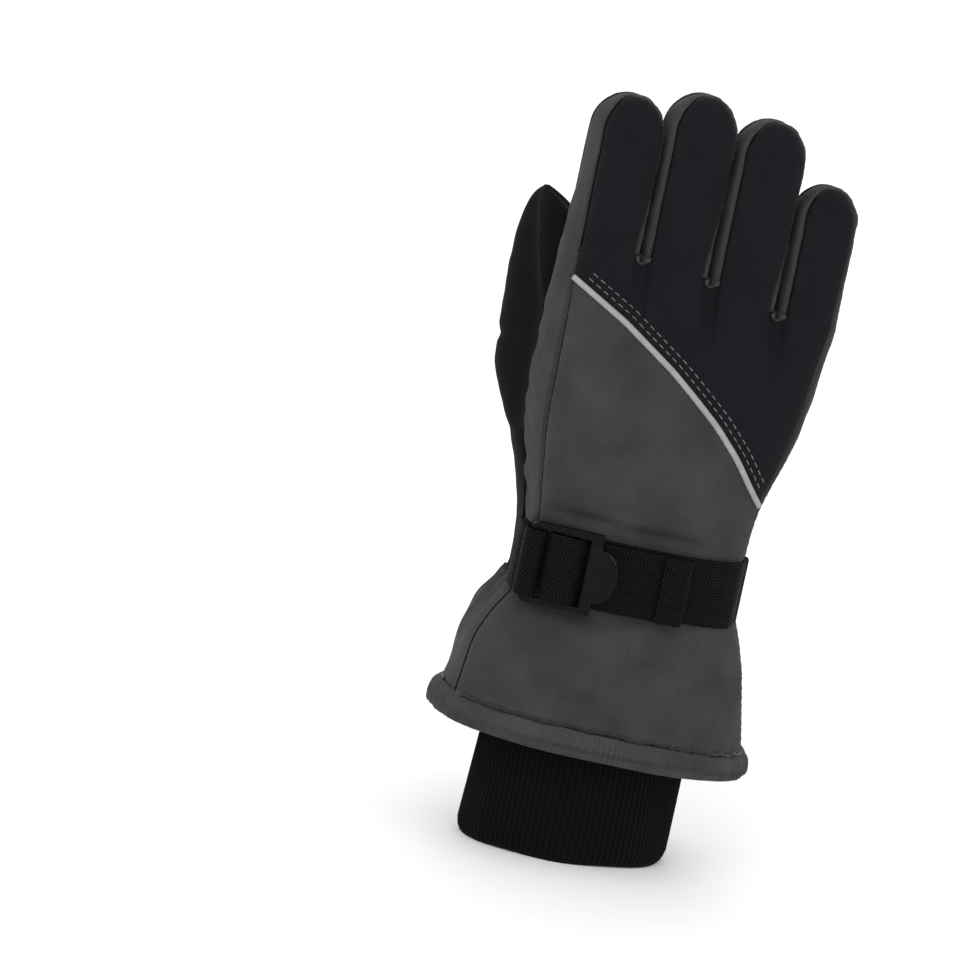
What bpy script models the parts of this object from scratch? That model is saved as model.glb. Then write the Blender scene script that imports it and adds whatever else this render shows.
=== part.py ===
"""A right-hand ski glove, standing on the rim of its knit cuff with its fingers up.

The back of the hand faces -Y, the palm faces +Y and the thumb is on the -X side. Every size below is in
millimetres, and solid() turns it into metres. Each finger, the thumb, the buckle and the free end of the
strap hang on an empty at their own joint, so that they can turn or slide.
"""

import math

import bpy
import numpy as np
from mathutils import Matrix, Vector

MM = 0.001

# Driving sizes
WEBBING = 25.0
WEBBING_THICK = 1.4
SHELL_THICK = 1.2
GAP = 0.3
STRAP_MIDDLE = 110.0
PALM_BOTTOM = 104.0
HEM_MIDDLE = 41.8
HEM_HEIGHT = 9.5
HEM_TILT = -0.07
KNUCKLE_CLEARANCE = 12.3
SECTION_POWER = 2.6
SEAM_GAP = 0.8  # degrees of turn between two panels, about half a millimetre
GUSSET_GAP = 3.5  # the swollen edge of the thumb gusset leans, so it keeps further from the back

# Outline of the shell: height, edge on the thumb side, edge on the little-finger side, half depth
SECTIONS = (
    (40.0, -58.0, 60.0, 33.0),
    (54.0, -54.5, 57.5, 31.0),
    (77.0, -51.5, 53.0, 28.5),
    (88.0, -46.0, 49.0, 26.2),
    (96.0, -39.8, 45.5, 24.2),
    (110.0, -37.5, 44.5, 23.2),
    (124.0, -36.5, 45.0, 22.8),
    (140.0, -38.5, 46.0, 22.3),
    (155.0, -42.0, 51.0, 21.5),
    (180.0, -46.0, 56.5, 20.0),
    (200.0, -46.5, 59.0, 17.5),
    (222.0, -46.0, 60.5, 14.0),
)
# Hinge of each finger: middle of its width, height, half width and length beyond the hinge
FINGERS = {
    "index": (-30.6, 234.0, 12.6, 50.0),
    "middle": (-3.4, 232.5, 12.4, 55.5),
    "ring": (23.5, 228.0, 12.4, 54.5),
    "little": (49.0, 221.0, 11.0, 40.0),
}
FINGER_HALF_DEPTH = 11.5
THUMB_HINGE = (-38.5, 29.5, 160.0)
THUMB_TIP = (-46.5, 37.0, 233.0)
THUMB_HALF_WIDTH = 12.5
THUMB_HALF_DEPTH = 11.0
THUMB_FACES = (0.5, 0.866, -0.04)

TIP_ROUNDNESS = 1.1  # radius of a fingertip over the finger's half width
TIP_TAPER = 0.3  # how much thinner the very end of a tip is
EDGE_SHARE = 0.82  # depth of a panel's edge over the depth of its middle
LINING_THICK = 2.0

# Layers inside the shell: how deep each lies and how thick it is
WADDING = (2.7, 1.6)
FLEECE = (5.0, 1.0)
WRIST_ELASTIC = (2.6, 1.0)
GAUNTLET_LINING = (2.6, 0.8)
KNIT_THICK = 2.2

# Seams, as lines across the width: x, height
DIAGONAL_SEAM = ((-40, 213), (-20, 201), (0, 186.5), (10, 178), (20, 169), (30, 158), (38, 147), (48, 135))
KNUCKLE_LINE = ((-46, 221.5), (-17, 220), (10, 215.5), (37.5, 208.5), (61, 207))

# Heights near which each edge is looked up, so that its slope across the width is followed
NEAR_HEM = 54
NEAR_DIAGONAL = 175
NEAR_KNUCKLES = 215
GUSSET_TOP = 145.5  # height at which the thumb leaves the mound on the palm
PIPING_GAP = 1.5
PIPING_HALF_WIDTH = 1.2

# Turn round the hand, in degrees: 0 is the little-finger side, 90 the palm, 180 the thumb side, 270 the back
SIDE_STRIP = 33.0
GAUNTLET_SEAM = 15.0

STRAP_TURNS = (248.0, 348.0)
TAB_LOOP_RADIUS = 3.6
TAB_LOOP_TURNS = (130, 410)

BUCKLE_HINGE = (-38.0, -21.3)
BUCKLE_SLOPE = 20.0
BUCKLE_HALF_HEIGHT = 14.5
BUCKLE_HALF_THICK = 1.6
BUCKLE_REACH = (-1.9, 25.5)  # from the hinge, across the frame
BUCKLE_SLOTS = ((1.9, 10.5), (14.5, 21.5))
PULL_TAB_SIZE = (7.5, 9.5, 1.8)
PULL_TAB_PLACE = (24.5, -0.9, 0.0)
TAIL_FROM, TAIL_TO = -2.0, 20.0
TAIL_MIDDLE_Y = -27.4


def clear_scene():
    for obj in list(bpy.data.objects):
        bpy.data.objects.remove(obj)


def material(name, colour, roughness, metallic=0.0):
    made = bpy.data.materials.new(name)
    made.use_nodes = True
    shader = made.node_tree.nodes["Principled BSDF"]
    shader.inputs["Base Color"].default_value = (*colour, 1.0)
    shader.inputs["Roughness"].default_value = roughness
    shader.inputs["Metallic"].default_value = metallic
    return made


def empty(name, place, parent=None, turn=0.0):
    """An empty at a joint. Its children are placed from it."""
    made = bpy.data.objects.new(name, None)
    made.location = Vector(place) * MM
    made.rotation_euler = (0.0, 0.0, math.radians(turn))
    made.parent = parent
    bpy.context.scene.collection.objects.link(made)
    return made


def solid(name, points, faces, finish, body, origin=(0.0, 0.0, 0.0)):
    """One closed node, made from points in millimetres, hung on a body's empty that stands at origin."""
    mesh = bpy.data.meshes.new(name)
    mesh.from_pydata([(Vector(p) - Vector(origin)) * MM for p in points], [], faces)
    mesh.materials.append(finish)
    obj = bpy.data.objects.new(name, mesh)
    obj.parent = body
    bpy.context.scene.collection.objects.link(obj)
    bpy.context.view_layer.objects.active = obj
    bpy.ops.object.mode_set(mode="EDIT")
    bpy.ops.mesh.select_all(action="SELECT")
    bpy.ops.mesh.normals_make_consistent(inside=False)
    bpy.ops.object.mode_set(mode="OBJECT")
    return obj


def slab(name, outer, inner, finish, body, origin=(0.0, 0.0, 0.0), ring=False, closed_top=False):
    """A wall between two grids of points. A ring joins its last column to its first, and a closed top
    ends in one face over each grid, as a fingertip does."""
    rows, cols = outer.shape[:2]
    points = [tuple(p) for grid in (outer, inner) for row in grid for p in row]

    def at(side, row, col):
        return side * rows * cols + row * cols + col % cols

    faces = []
    for side in (0, 1):
        for row in range(rows - 1):
            for col in range(cols if ring else cols - 1):
                faces.append(
                    tuple(at(side, row + up, col + on) for up, on in ((0, 0), (0, 1), (1, 1), (1, 0)))
                )
    for row in (0,) if closed_top else (0, rows - 1):
        for col in range(cols if ring else cols - 1):
            faces.append((at(0, row, col), at(0, row, col + 1), at(1, row, col + 1), at(1, row, col)))
    if closed_top:
        for side in (0, 1):
            faces.append(tuple(at(side, rows - 1, col) for col in range(cols)))
    if not ring:
        for col in (0, cols - 1):
            for row in range(rows - 1):
                faces.append((at(0, row, col), at(0, row + 1, col), at(1, row + 1, col), at(1, row, col)))
    return solid(name, points, faces, finish, body, origin)


def line(table):
    """A height or a place read along a table of pairs."""
    across, values = zip(*table)
    return lambda x: float(np.interp(x, across, values))


def shifted(reading, by):
    return lambda x: reading(x) + by


def skin(z, turn, depth=0.0):
    """A point of the shell at this height and turn, this deep under the outer surface."""
    heights, left, right, half_depths = zip(*SECTIONS)
    low, high = np.interp(z, heights, left), np.interp(z, heights, right)
    half_width = (high - low) / 2 - depth
    half_depth = np.interp(z, heights, half_depths) - depth
    cosine, sine = math.cos(math.radians(turn)), math.sin(math.radians(turn))
    x = (low + high) / 2 + half_width * math.copysign(abs(cosine) ** (2 / SECTION_POWER), cosine)
    y = half_depth * math.copysign(abs(sine) ** (2 / SECTION_POWER), sine)
    return np.array((x, y, z))


def turn_of(x, z):
    """The turn, on the palm side, of the point of the shell that has this x."""
    heights, left, right, _ = zip(*SECTIONS)
    low, high = np.interp(z, heights, left), np.interp(z, heights, right)
    share = (x - (low + high) / 2) / ((high - low) / 2)
    return math.degrees(math.acos(math.copysign(abs(share) ** (SECTION_POWER / 2), share)))


def skin_grid(bottom, top, start, end, depth, rows, cols):
    """Points between two edges across the hand and two edges along it.

    bottom and top are (height near the edge, height of the edge for a given x), and start and end give a
    turn for a height.
    """
    grid = np.zeros((rows + 1, cols + 1, 3))
    for col in range(cols + 1):
        share = col / cols
        low, high = (
            edge(skin(near, start(near) + (end(near) - start(near)) * share)[0]) for near, edge in (bottom, top)
        )
        for row in range(rows + 1):
            z = low + (high - low) * row / rows
            grid[row, col] = skin(z, start(z) + (end(z) - start(z)) * share, depth)
    return grid


def panel(name, edges, finish, body, rows, cols, depth=0.0, thick=SHELL_THICK):
    outer = skin_grid(*edges, depth, rows, cols)
    inner = skin_grid(*edges, depth + thick, rows, cols)
    return slab(name, outer, inner, finish, body)


def ring_wall(name, edges, finish, body, rows, cols, depth, thick):
    """A wall all the way round the shell's section."""
    whole = (*edges, lambda z: 0.0, lambda z: 360.0 * (cols - 1) / cols)
    outer = skin_grid(*whole, depth, rows, cols - 1)
    inner = skin_grid(*whole, depth + thick, rows, cols - 1)
    return slab(name, outer, inner, finish, body, ring=True)


def grid_normals(grid):
    """Unit normals of a grid, from the differences between its neighbouring points."""
    along = np.gradient(grid, axis=0)
    across = np.gradient(grid, axis=1)
    normals = np.cross(across, along)
    return normals / np.linalg.norm(normals, axis=2, keepdims=True)


def webbing(name, path, finish, body, origin=(0.0, 0.0, 0.0), thick=WEBBING_THICK, middle=STRAP_MIDDLE):
    """A length of webbing that follows a path seen from above, standing on its edge."""
    path = np.array(path, float)
    along = np.gradient(path, axis=0)
    normal = np.stack([-along[:, 1], along[:, 0]], axis=1)
    normal /= np.linalg.norm(normal, axis=1, keepdims=True)
    sides = []
    for side in (thick / 2, -thick / 2):
        flat = path + normal * side
        sides.append(
            np.array([[(x, y, middle + rise) for x, y in flat] for rise in (-WEBBING / 2, WEBBING / 2)])
        )
    return slab(name, sides[0], sides[1], finish, body, origin)


def back_seams():
    """Turns of the two seams that bound the back, which run close to the sides along the gauntlet."""
    thumb_side = line(((102, 180 + GAUNTLET_SEAM), (130, 180 + SIDE_STRIP)))
    little_side = line(((102, 360 - GAUNTLET_SEAM), (130, 360 - SIDE_STRIP)))
    return thumb_side, little_side


def hem_top(x):
    return HEM_MIDDLE + HEM_TILT * x + HEM_HEIGHT + GAP


def level(z):
    """An edge at one height."""
    return z, lambda x: z


def make_back(finishes, hand):
    thumb_seam, little_seam = back_seams()
    start, end = shifted(thumb_seam, SEAM_GAP), shifted(little_seam, -SEAM_GAP)
    diagonal, knuckles = line(DIAGONAL_SEAM), line(KNUCKLE_LINE)
    lower = ((NEAR_HEM, hem_top), (NEAR_DIAGONAL, shifted(diagonal, -PIPING_GAP)), start, end)
    upper = ((NEAR_DIAGONAL, shifted(diagonal, PIPING_GAP)), (NEAR_KNUCKLES, knuckles), start, end)
    under, over = (shifted(diagonal, side * PIPING_HALF_WIDTH) for side in (-1, 1))
    piping = ((NEAR_DIAGONAL, under), (NEAR_DIAGONAL, over), start, end)
    panel("back_lower_panel", lower, finishes["grey_softshell"], hand, 8, 10)
    panel("back_upper_panel", upper, finishes["black_softshell"], hand, 4, 10)
    panel("reflective_piping", piping, finishes["reflective"], hand, 1, 10, depth=-1.3, thick=2.2)


def make_sides(finishes, hand):
    thumb_seam, little_seam = back_seams()
    knuckles = line(KNUCKLE_LINE)
    little = (
        level(PALM_BOTTOM + GAP),
        (NEAR_KNUCKLES, knuckles),
        lambda z: little_seam(z) - 360 + SEAM_GAP,
        lambda z: SIDE_STRIP - SEAM_GAP,
    )
    thumb = (
        level(168.6),
        (NEAR_KNUCKLES, knuckles),
        lambda z: 180 - SIDE_STRIP + SEAM_GAP,
        shifted(thumb_seam, -SEAM_GAP),
    )
    panel("side_strip_little_finger", little, finishes["grey_softshell"], hand, 8, 3)
    panel("side_strip_thumb", thumb, finishes["grey_softshell"], hand, 3, 3)


def make_palm(finishes, hand):
    knuckles = line(KNUCKLE_LINE)
    thumb_edge = line(((106, 92), (148, 98), (158, 118), (168, 180 - SIDE_STRIP)))
    palm = (
        level(PALM_BOTTOM + GAP),
        (NEAR_KNUCKLES, knuckles),
        lambda z: SIDE_STRIP + SEAM_GAP,
        shifted(thumb_edge, -SEAM_GAP),
    )
    gauntlet = (
        (NEAR_HEM, hem_top),
        level(PALM_BOTTOM),
        lambda z: SEAM_GAP - GAUNTLET_SEAM,
        lambda z: 180 + GAUNTLET_SEAM - SEAM_GAP,
    )
    inner_edge = line(((138, 1), (152, -3), (163, -5), (174, -4), (182, -3.5)))
    outer_edge = line(((138, 4), (152, 8), (163, 7), (174, 3), (182, -1.5)))
    saddle = (
        level(138),
        level(182),
        lambda z: turn_of(outer_edge(z), z),
        lambda z: turn_of(inner_edge(z), z),
    )
    panel("palm_panel", palm, finishes["palm_grip"], hand, 8, 7)
    panel("gauntlet_palm_panel", gauntlet, finishes["grey_softshell"], hand, 4, 10)
    panel("palm_saddle_patch", saddle, finishes["black_softshell"], hand, 5, 2, depth=-GAP - SHELL_THICK)


def make_thumb_gusset(finishes, hand):
    """The mound that the thumb stands on. It leaves the palm and the side as a tube round the thumb's root."""
    thumb_seam, _ = back_seams()
    bottom, top = PALM_BOTTOM + GAP, GUSSET_TOP
    rim = ((-12, 27), (-20, 33.5), (-27, 38.5), (-35, 41), (-43, 39.5))
    rim += ((-48, 33), (-49, 25), (-47, 15), (-43, 5))
    rows, cols = 6, len(rim) + 1
    grid = np.zeros((rows + 1, cols + 1, 3))
    for row in range(rows + 1):
        z = bottom + (top - bottom) * row / rows
        start, end = 92.0 + 6.0 * (z - 106) / 42 + SEAM_GAP, thumb_seam(z) - GUSSET_GAP
        for col in range(cols + 1):
            turn = start + (end - start) * col / cols
            place = skin(z, turn)
            if 0 < col < cols:
                swell = (*rim[col - 1], top) - skin(top, start + (end - start) * col / cols)
                place = place + swell * (row / rows) ** 1.6
            grid[row, col] = (place[0], place[1], z)
    inner = grid + grid_normals(grid) * SHELL_THICK * -np.sign(
        np.sum(grid_normals(grid) * (grid - np.array((-20.0, 5.0, 125.0))), axis=2, keepdims=True)
    )
    inner[:, :, 2] = grid[:, :, 2]
    slab("thumb_gusset", grid, inner, finishes["black_softshell"], hand)


def make_inside(finishes, hand):
    """The layers between the shell and the hand. The two long ones stop short of the thumb's way in."""
    knuckles = line(KNUCKLE_LINE)
    thumb_way = line(((108, SEAM_GAP), (122, 44), (150, 44), (160, 24), (168, SEAM_GAP)))
    start, end = lambda z: 156 + thumb_way(z), lambda z: 516 - thumb_way(z)
    layer = (level(106), (NEAR_KNUCKLES, shifted(knuckles, -2 * GAP)), start, end)
    panel("hand_insulation", layer, finishes["wadding"], hand, 7, 24, depth=WADDING[0], thick=WADDING[1])
    panel("hand_lining", layer, finishes["fleece"], hand, 7, 24, depth=FLEECE[0], thick=FLEECE[1])
    elastic = (level(97), level(101), lambda z: 10.0, lambda z: 170.0)
    depth, thick = WRIST_ELASTIC
    panel("wrist_elastic", elastic, finishes["rubber"], hand, 1, 12, depth=depth, thick=thick)
    gauntlet = ((NEAR_HEM, hem_top), level(94.0))
    ring_wall("gauntlet_lining", gauntlet, finishes["fleece"], hand, 4, 24, *GAUNTLET_LINING)


def make_cuffs(finishes, hand):
    """The padded hem of the gauntlet, and the knit cuff that the glove stands on."""
    profile = (
        (-1.0, 0.0),
        (-2.0, 2.5),
        (-2.0, 7.0),
        (-1.0, HEM_HEIGHT),
        (2.6, HEM_HEIGHT),
        (3.4, 7.0),
        (3.4, 2.5),
        (2.6, 0.0),
    )
    cols = 28
    points = []
    for col in range(cols):
        turn = 360 * col / cols
        foot = HEM_MIDDLE + HEM_TILT * skin(46, turn)[0]
        points += [skin(foot + rise, turn, depth) for depth, rise in profile]
    count = len(profile)
    faces = [
        (
            col * count + k,
            col * count + (k + 1) % count,
            (col + 1) % cols * count + (k + 1) % count,
            (col + 1) % cols * count + k,
        )
        for col in range(cols)
        for k in range(count)
    ]
    solid("cuff_hem", points, faces, finishes["grey_softshell"], hand)

    knit_sections = ((0, 38.0, 23.0), (3, 39.2, 24.2), (45, 38.5, 23.5), (90, 36.5, 20.5), (105, 35.0, 18.0))
    outer, inner = [], []
    for z, half_width, half_depth in knit_sections:
        for grid, inset in ((outer, 0.0), (inner, KNIT_THICK)):
            grid.append(
                [
                    (
                        1.0 + (half_width - inset) * math.cos(math.radians(360 * col / cols)),
                        (half_depth - inset) * math.sin(math.radians(360 * col / cols)),
                        z,
                    )
                    for col in range(cols)
                ]
            )
    slab("knit_cuff", np.array(outer), np.array(inner), finishes["rib_knit"], hand, ring=True)


def make_fourchettes(finishes, hand):
    """The short webs at the bottom of the three gaps between the fingers."""
    names = list(FINGERS)
    knuckles = line(KNUCKLE_LINE)
    for left, right in zip(names, names[1:]):
        x = (FINGERS[left][0] + FINGERS[left][2] + FINGERS[right][0] - FINGERS[right][2]) / 2
        base = knuckles(x) + GAP + 0.2
        sides = []
        for side in (-0.6, 0.6):
            rows = [
                [(x + side, across, base + rise) for across in np.linspace(-reach, reach, 5)]
                for rise, reach in ((0.0, 10.0), (4.0, 9.0), (8.0, 7.0))
            ]
            sides.append(np.array(rows))
        slab(f"fourchette_{left}_{right}", sides[0], sides[1], finishes["grey_softshell"], hand)


def make_digit(name, place, along, palm, half_width, half_depth, length, finishes, body):
    """A finger or the thumb beyond its hinge: a back panel, a palm panel, the strip between them that runs
    round the tip, and the insulated lining inside."""
    along, palm = Vector(along).normalized(), Vector(palm)
    palm = (palm - along * palm.dot(along)).normalized()
    lateral = palm.cross(along)
    frame = np.array((lateral, palm, along))
    tip_radius = half_width * TIP_ROUNDNESS
    straight = length - tip_radius
    heights = [straight * share for share in (0.0, 0.35, 0.7, 1.0)]
    arcs = [0.0] * len(heights) + [math.radians(a) for a in (28, 50, 68, 81)]
    heights += [straight + tip_radius * math.sin(a) for a in arcs[len(heights):]]

    def world(grid):
        return np.array(grid) @ frame + np.array(place)

    def taper(h):
        return 1.0 - TIP_TAPER * max(0.0, (h - straight) / tip_radius) ** 2

    def plate(side):
        outer, inner = [], []
        for h, arc in zip(heights, arcs):
            for grid, thick in ((outer, 0.0), (inner, SHELL_THICK)):
                grid.append(
                    [
                        (
                            half_width * math.cos(arc) * share,
                            side * (half_depth * taper(h) * (1 - (1 - EDGE_SHARE) * share**2) - thick),
                            h,
                        )
                        for share in (-1, -0.55, 0, 0.55, 1)
                    ]
                )
        return world(outer), world(inner)

    slab(f"{name}_back_panel", *plate(-1), finishes["black_softshell"], body, place)
    slab(f"{name}_palm_panel", *plate(1), finishes["palm_grip"], body, place)

    outline = [(-half_width, -8.0), (-half_width, 0.0)]
    outline += [
        (-half_width * math.cos(math.radians(a)), straight + tip_radius * math.sin(math.radians(a)))
        for a in range(0, 181, 20)
    ]
    outline += [(half_width, 0.0), (half_width, -8.0)]
    path = np.array(outline)
    run = np.gradient(path, axis=0)
    inward = np.stack([run[:, 1], -run[:, 0]], axis=1)
    inward /= np.linalg.norm(inward, axis=1, keepdims=True)
    sides = []
    for inset in (0.0, SHELL_THICK):
        rows = [[], []]
        for (across, h), (dx, dz) in zip(path, inward):
            reach = half_depth * taper(h) * EDGE_SHARE - SHELL_THICK - GAP
            for row, side in enumerate((-1, 1)):
                rows[row].append((across + dx * inset, side * reach, h + dz * inset))
        sides.append(world(rows))
    slab(f"{name}_side_strip", *sides, finishes["grey_softshell"], body, place)

    outer, inner = [], []
    around = 12
    for h, arc in zip([-3.0] + heights[1:], arcs):
        for grid, inset in ((outer, SHELL_THICK + GAP), (inner, SHELL_THICK + GAP + LINING_THICK)):
            wide = (half_width - inset) * math.cos(arc)
            deep = (half_depth * taper(h) - inset) * math.cos(arc) ** 0.4
            high = h if arc == 0.0 else straight + (tip_radius - inset) * math.sin(arc)
            turns = [2 * math.pi * k / around for k in range(around)]
            grid.append([(wide * math.cos(t), deep * math.sin(t), high) for t in turns])
    slab(
        f"{name}_lining", world(outer), world(inner), finishes["fleece"], body, place, ring=True, closed_top=True
    )


def make_digits(finishes, hand):
    for name, (x, z, half_width, length) in FINGERS.items():
        body = empty(f"{name}_joint", (x, 0.0, z), hand)
        place = (x, 0.0, z)
        make_digit(name, place, (0, 0, 1), (0, 1, 0), half_width, FINGER_HALF_DEPTH, length, finishes, body)
    body = empty("thumb_joint", THUMB_HINGE, hand)
    along = Vector(THUMB_TIP) - Vector(THUMB_HINGE)
    make_digit(
        "thumb",
        THUMB_HINGE,
        along,
        THUMB_FACES,
        THUMB_HALF_WIDTH,
        THUMB_HALF_DEPTH,
        along.length,
        finishes,
        body,
    )


def arc(centre, radius, first, last, steps):
    """Points on an arc seen from above, by angle in degrees."""
    angles = [math.radians(first + (last - first) * k / steps) for k in range(steps + 1)]
    return [(centre[0] + radius * math.cos(a), centre[1] + radius * math.sin(a)) for a in angles]


def make_strap(finishes, hand):
    """The strap over the wrist, and the short doubled tab that holds the buckle's first bar."""
    strap = (
        level(STRAP_MIDDLE - WEBBING / 2),
        level(STRAP_MIDDLE + WEBBING / 2),
        lambda z: STRAP_TURNS[0],
        lambda z: STRAP_TURNS[1],
    )
    panel("wrist_strap", strap, finishes["webbing"], hand, 2, 9, depth=-1.0 - WEBBING_THICK, thick=WEBBING_THICK)
    seam_y = -9.0
    loop = arc(BUCKLE_HINGE, TAB_LOOP_RADIUS, *TAB_LOOP_TURNS, 10)
    path = [(-41.6, seam_y), (-41.5, -15.0), *loop, (-39.5, -15.0), (-39.7, seam_y)]
    webbing("buckle_tab", path, finishes["webbing"], hand)


def box(name, low, high, pivot):
    bpy.ops.mesh.primitive_cube_add(size=1.0)
    obj = bpy.context.active_object
    obj.name = name
    low, high = Vector(low) * MM, Vector(high) * MM
    obj.data.transform(Matrix.Translation((low + high) / 2) @ Matrix.Diagonal((*(high - low), 1.0)))
    obj.parent = pivot
    return obj


def boolean(obj, other, operation):
    """Cuts another object out of this one, or joins it on, and leaves the other as a hidden helper."""
    modifier = obj.modifiers.new(other.name, "BOOLEAN")
    modifier.operation = operation
    modifier.solver = "EXACT"
    modifier.object = other
    other.hide_render = True
    other.display_type = "WIRE"


def make_buckle(finishes, hand):
    """A ladder-lock buckle that turns on its first bar, with the webbing wrapped on its middle bar and the
    free end of the strap, which slides out of it."""
    half_high, half_thick = BUCKLE_HALF_HEIGHT, BUCKLE_HALF_THICK
    pivot = empty("buckle_joint", (*BUCKLE_HINGE, STRAP_MIDDLE), hand, -BUCKLE_SLOPE)
    near, far = BUCKLE_REACH
    frame = box("buckle", (near, -half_thick, -half_high), (far, half_thick, half_high), pivot)
    frame.data.materials.append(finishes["hard_plastic"])
    slot_high = WEBBING / 2 + 0.4
    for number, (first, last) in enumerate(BUCKLE_SLOTS):
        cutter = box(f"buckle_slot_{number}", (first, -5, -slot_high), (last, 5, slot_high), pivot)
        boolean(frame, cutter, "DIFFERENCE")
    bpy.ops.mesh.primitive_cylinder_add(vertices=24, radius=1.0, depth=1.0)
    tab = bpy.context.active_object
    tab.name = "buckle_pull_tab"
    size = Matrix.Diagonal((*(side * MM for side in PULL_TAB_SIZE), 1.0))
    stand = Matrix.Rotation(math.radians(90), 4, "X")
    tab.data.transform(Matrix.Translation(Vector(PULL_TAB_PLACE) * MM) @ stand @ size)
    tab.parent = pivot
    boolean(frame, tab, "UNION")
    bpy.context.view_layer.update()

    out = Vector((math.cos(math.radians(BUCKLE_SLOPE)), -math.sin(math.radians(BUCKLE_SLOPE))))
    side = Vector((-out.y, out.x))
    hinge = Vector(BUCKLE_HINGE)
    pivot_place = (*BUCKLE_HINGE, STRAP_MIDDLE)
    bend = [(16.5, 2.6), (13.5, 2.6), (10.3, 2.6), (9.4, 1.7)]
    bend += [(9.4, -1.7), (10.3, -2.6), (13.5, -2.6), (20.0, -2.6)]
    path = [tuple(hinge + out * u + side * v) for u, v in bend]
    wrap_body = empty("strap_wrap_place", pivot_place, hand)
    webbing("strap_wrap", path, finishes["webbing"], wrap_body, pivot_place)

    tail_place = (TAIL_FROM, TAIL_MIDDLE_Y, STRAP_MIDDLE)
    tail_body = empty("strap_tail_joint", tail_place, hand)
    y = TAIL_MIDDLE_Y
    fold = y - WEBBING_THICK - 0.1
    path = [(TAIL_FROM, y), (5.0, y), (13.0, y), (TAIL_TO - 1.0, y), (TAIL_TO, y - 0.75), (TAIL_TO - 1.0, fold)]
    path += [(14.0, fold), (10.0, fold)]
    webbing("strap_tail", path, finishes["webbing"], tail_body, tail_place, thick=WEBBING_THICK - 0.1)


def stand_on_origin(root):
    """Moves the glove so that the middle of its footprint is the origin."""
    bpy.context.view_layer.update()
    corners = [
        obj.matrix_world @ Vector(corner)
        for obj in bpy.data.objects
        if obj.type == "MESH" and not obj.hide_render
        for corner in obj.bound_box
    ]
    root.location.x = -(min(c.x for c in corners) + max(c.x for c in corners)) / 2
    root.location.y = -(min(c.y for c in corners) + max(c.y for c in corners)) / 2


def main():
    clear_scene()
    finishes = {
        "black_softshell": material("black_softshell", (0.017, 0.018, 0.022), 0.8),
        "grey_softshell": material("grey_softshell", (0.062, 0.062, 0.065), 0.8),
        "palm_grip": material("palm_grip", (0.04, 0.04, 0.04), 0.55),
        "reflective": material("reflective", (0.3, 0.3, 0.31), 0.35),
        "rib_knit": material("rib_knit", (0.007, 0.007, 0.007), 0.9),
        "webbing": material("webbing", (0.01, 0.01, 0.01), 0.6),
        "hard_plastic": material("hard_plastic", (0.008, 0.008, 0.008), 0.35),
        "fleece": material("fleece", (0.02, 0.02, 0.02), 0.95),
        "wadding": material("wadding", (0.6, 0.6, 0.58), 0.95),
        "rubber": material("rubber", (0.02, 0.02, 0.02), 0.7),
    }
    hand = empty("hand", (0.0, 0.0, 0.0))
    make_back(finishes, hand)
    make_sides(finishes, hand)
    make_palm(finishes, hand)
    make_thumb_gusset(finishes, hand)
    make_inside(finishes, hand)
    make_cuffs(finishes, hand)
    make_fourchettes(finishes, hand)
    make_digits(finishes, hand)
    make_strap(finishes, hand)
    make_buckle(finishes, hand)
    stand_on_origin(hand)


main()
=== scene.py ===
"""Finished look of a right-hand ski glove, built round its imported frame.

Working sizes are in millimetres in the maker's frame: the knit cuff is centred near x = 1, the back of the
hand faces -Y, the palm faces +Y and the thumb is on the -X side. world() moves them into the shared frame.
"""

import math

import bmesh
import bpy
import numpy as np
from mathutils import Matrix, Vector
from mathutils.bvhtree import BVHTree

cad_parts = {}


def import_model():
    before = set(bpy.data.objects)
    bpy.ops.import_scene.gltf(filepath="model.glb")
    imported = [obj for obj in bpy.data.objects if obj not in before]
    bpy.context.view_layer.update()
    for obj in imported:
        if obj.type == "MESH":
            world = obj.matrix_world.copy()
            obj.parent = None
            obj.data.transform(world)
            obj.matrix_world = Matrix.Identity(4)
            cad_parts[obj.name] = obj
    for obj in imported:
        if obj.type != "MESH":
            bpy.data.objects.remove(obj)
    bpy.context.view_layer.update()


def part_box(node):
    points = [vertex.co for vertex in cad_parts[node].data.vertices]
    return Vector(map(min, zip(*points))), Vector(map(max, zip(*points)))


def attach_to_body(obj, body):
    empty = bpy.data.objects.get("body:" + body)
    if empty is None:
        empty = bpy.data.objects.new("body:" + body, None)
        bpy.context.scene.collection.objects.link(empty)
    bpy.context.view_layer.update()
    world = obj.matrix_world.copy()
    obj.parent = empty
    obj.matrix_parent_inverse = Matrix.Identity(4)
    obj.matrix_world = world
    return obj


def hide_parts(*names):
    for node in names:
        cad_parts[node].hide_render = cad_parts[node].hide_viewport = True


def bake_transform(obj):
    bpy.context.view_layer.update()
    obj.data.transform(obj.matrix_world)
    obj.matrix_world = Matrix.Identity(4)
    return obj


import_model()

MM = 0.001
KNIT_CENTRE_X = 1.0
knit_low, knit_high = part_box("knit_cuff")
SHIFT = np.array(
    ((knit_low.x + knit_high.x) / 2 / MM - KNIT_CENTRE_X, (knit_low.y + knit_high.y) / 2 / MM, 0.0)
)

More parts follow.
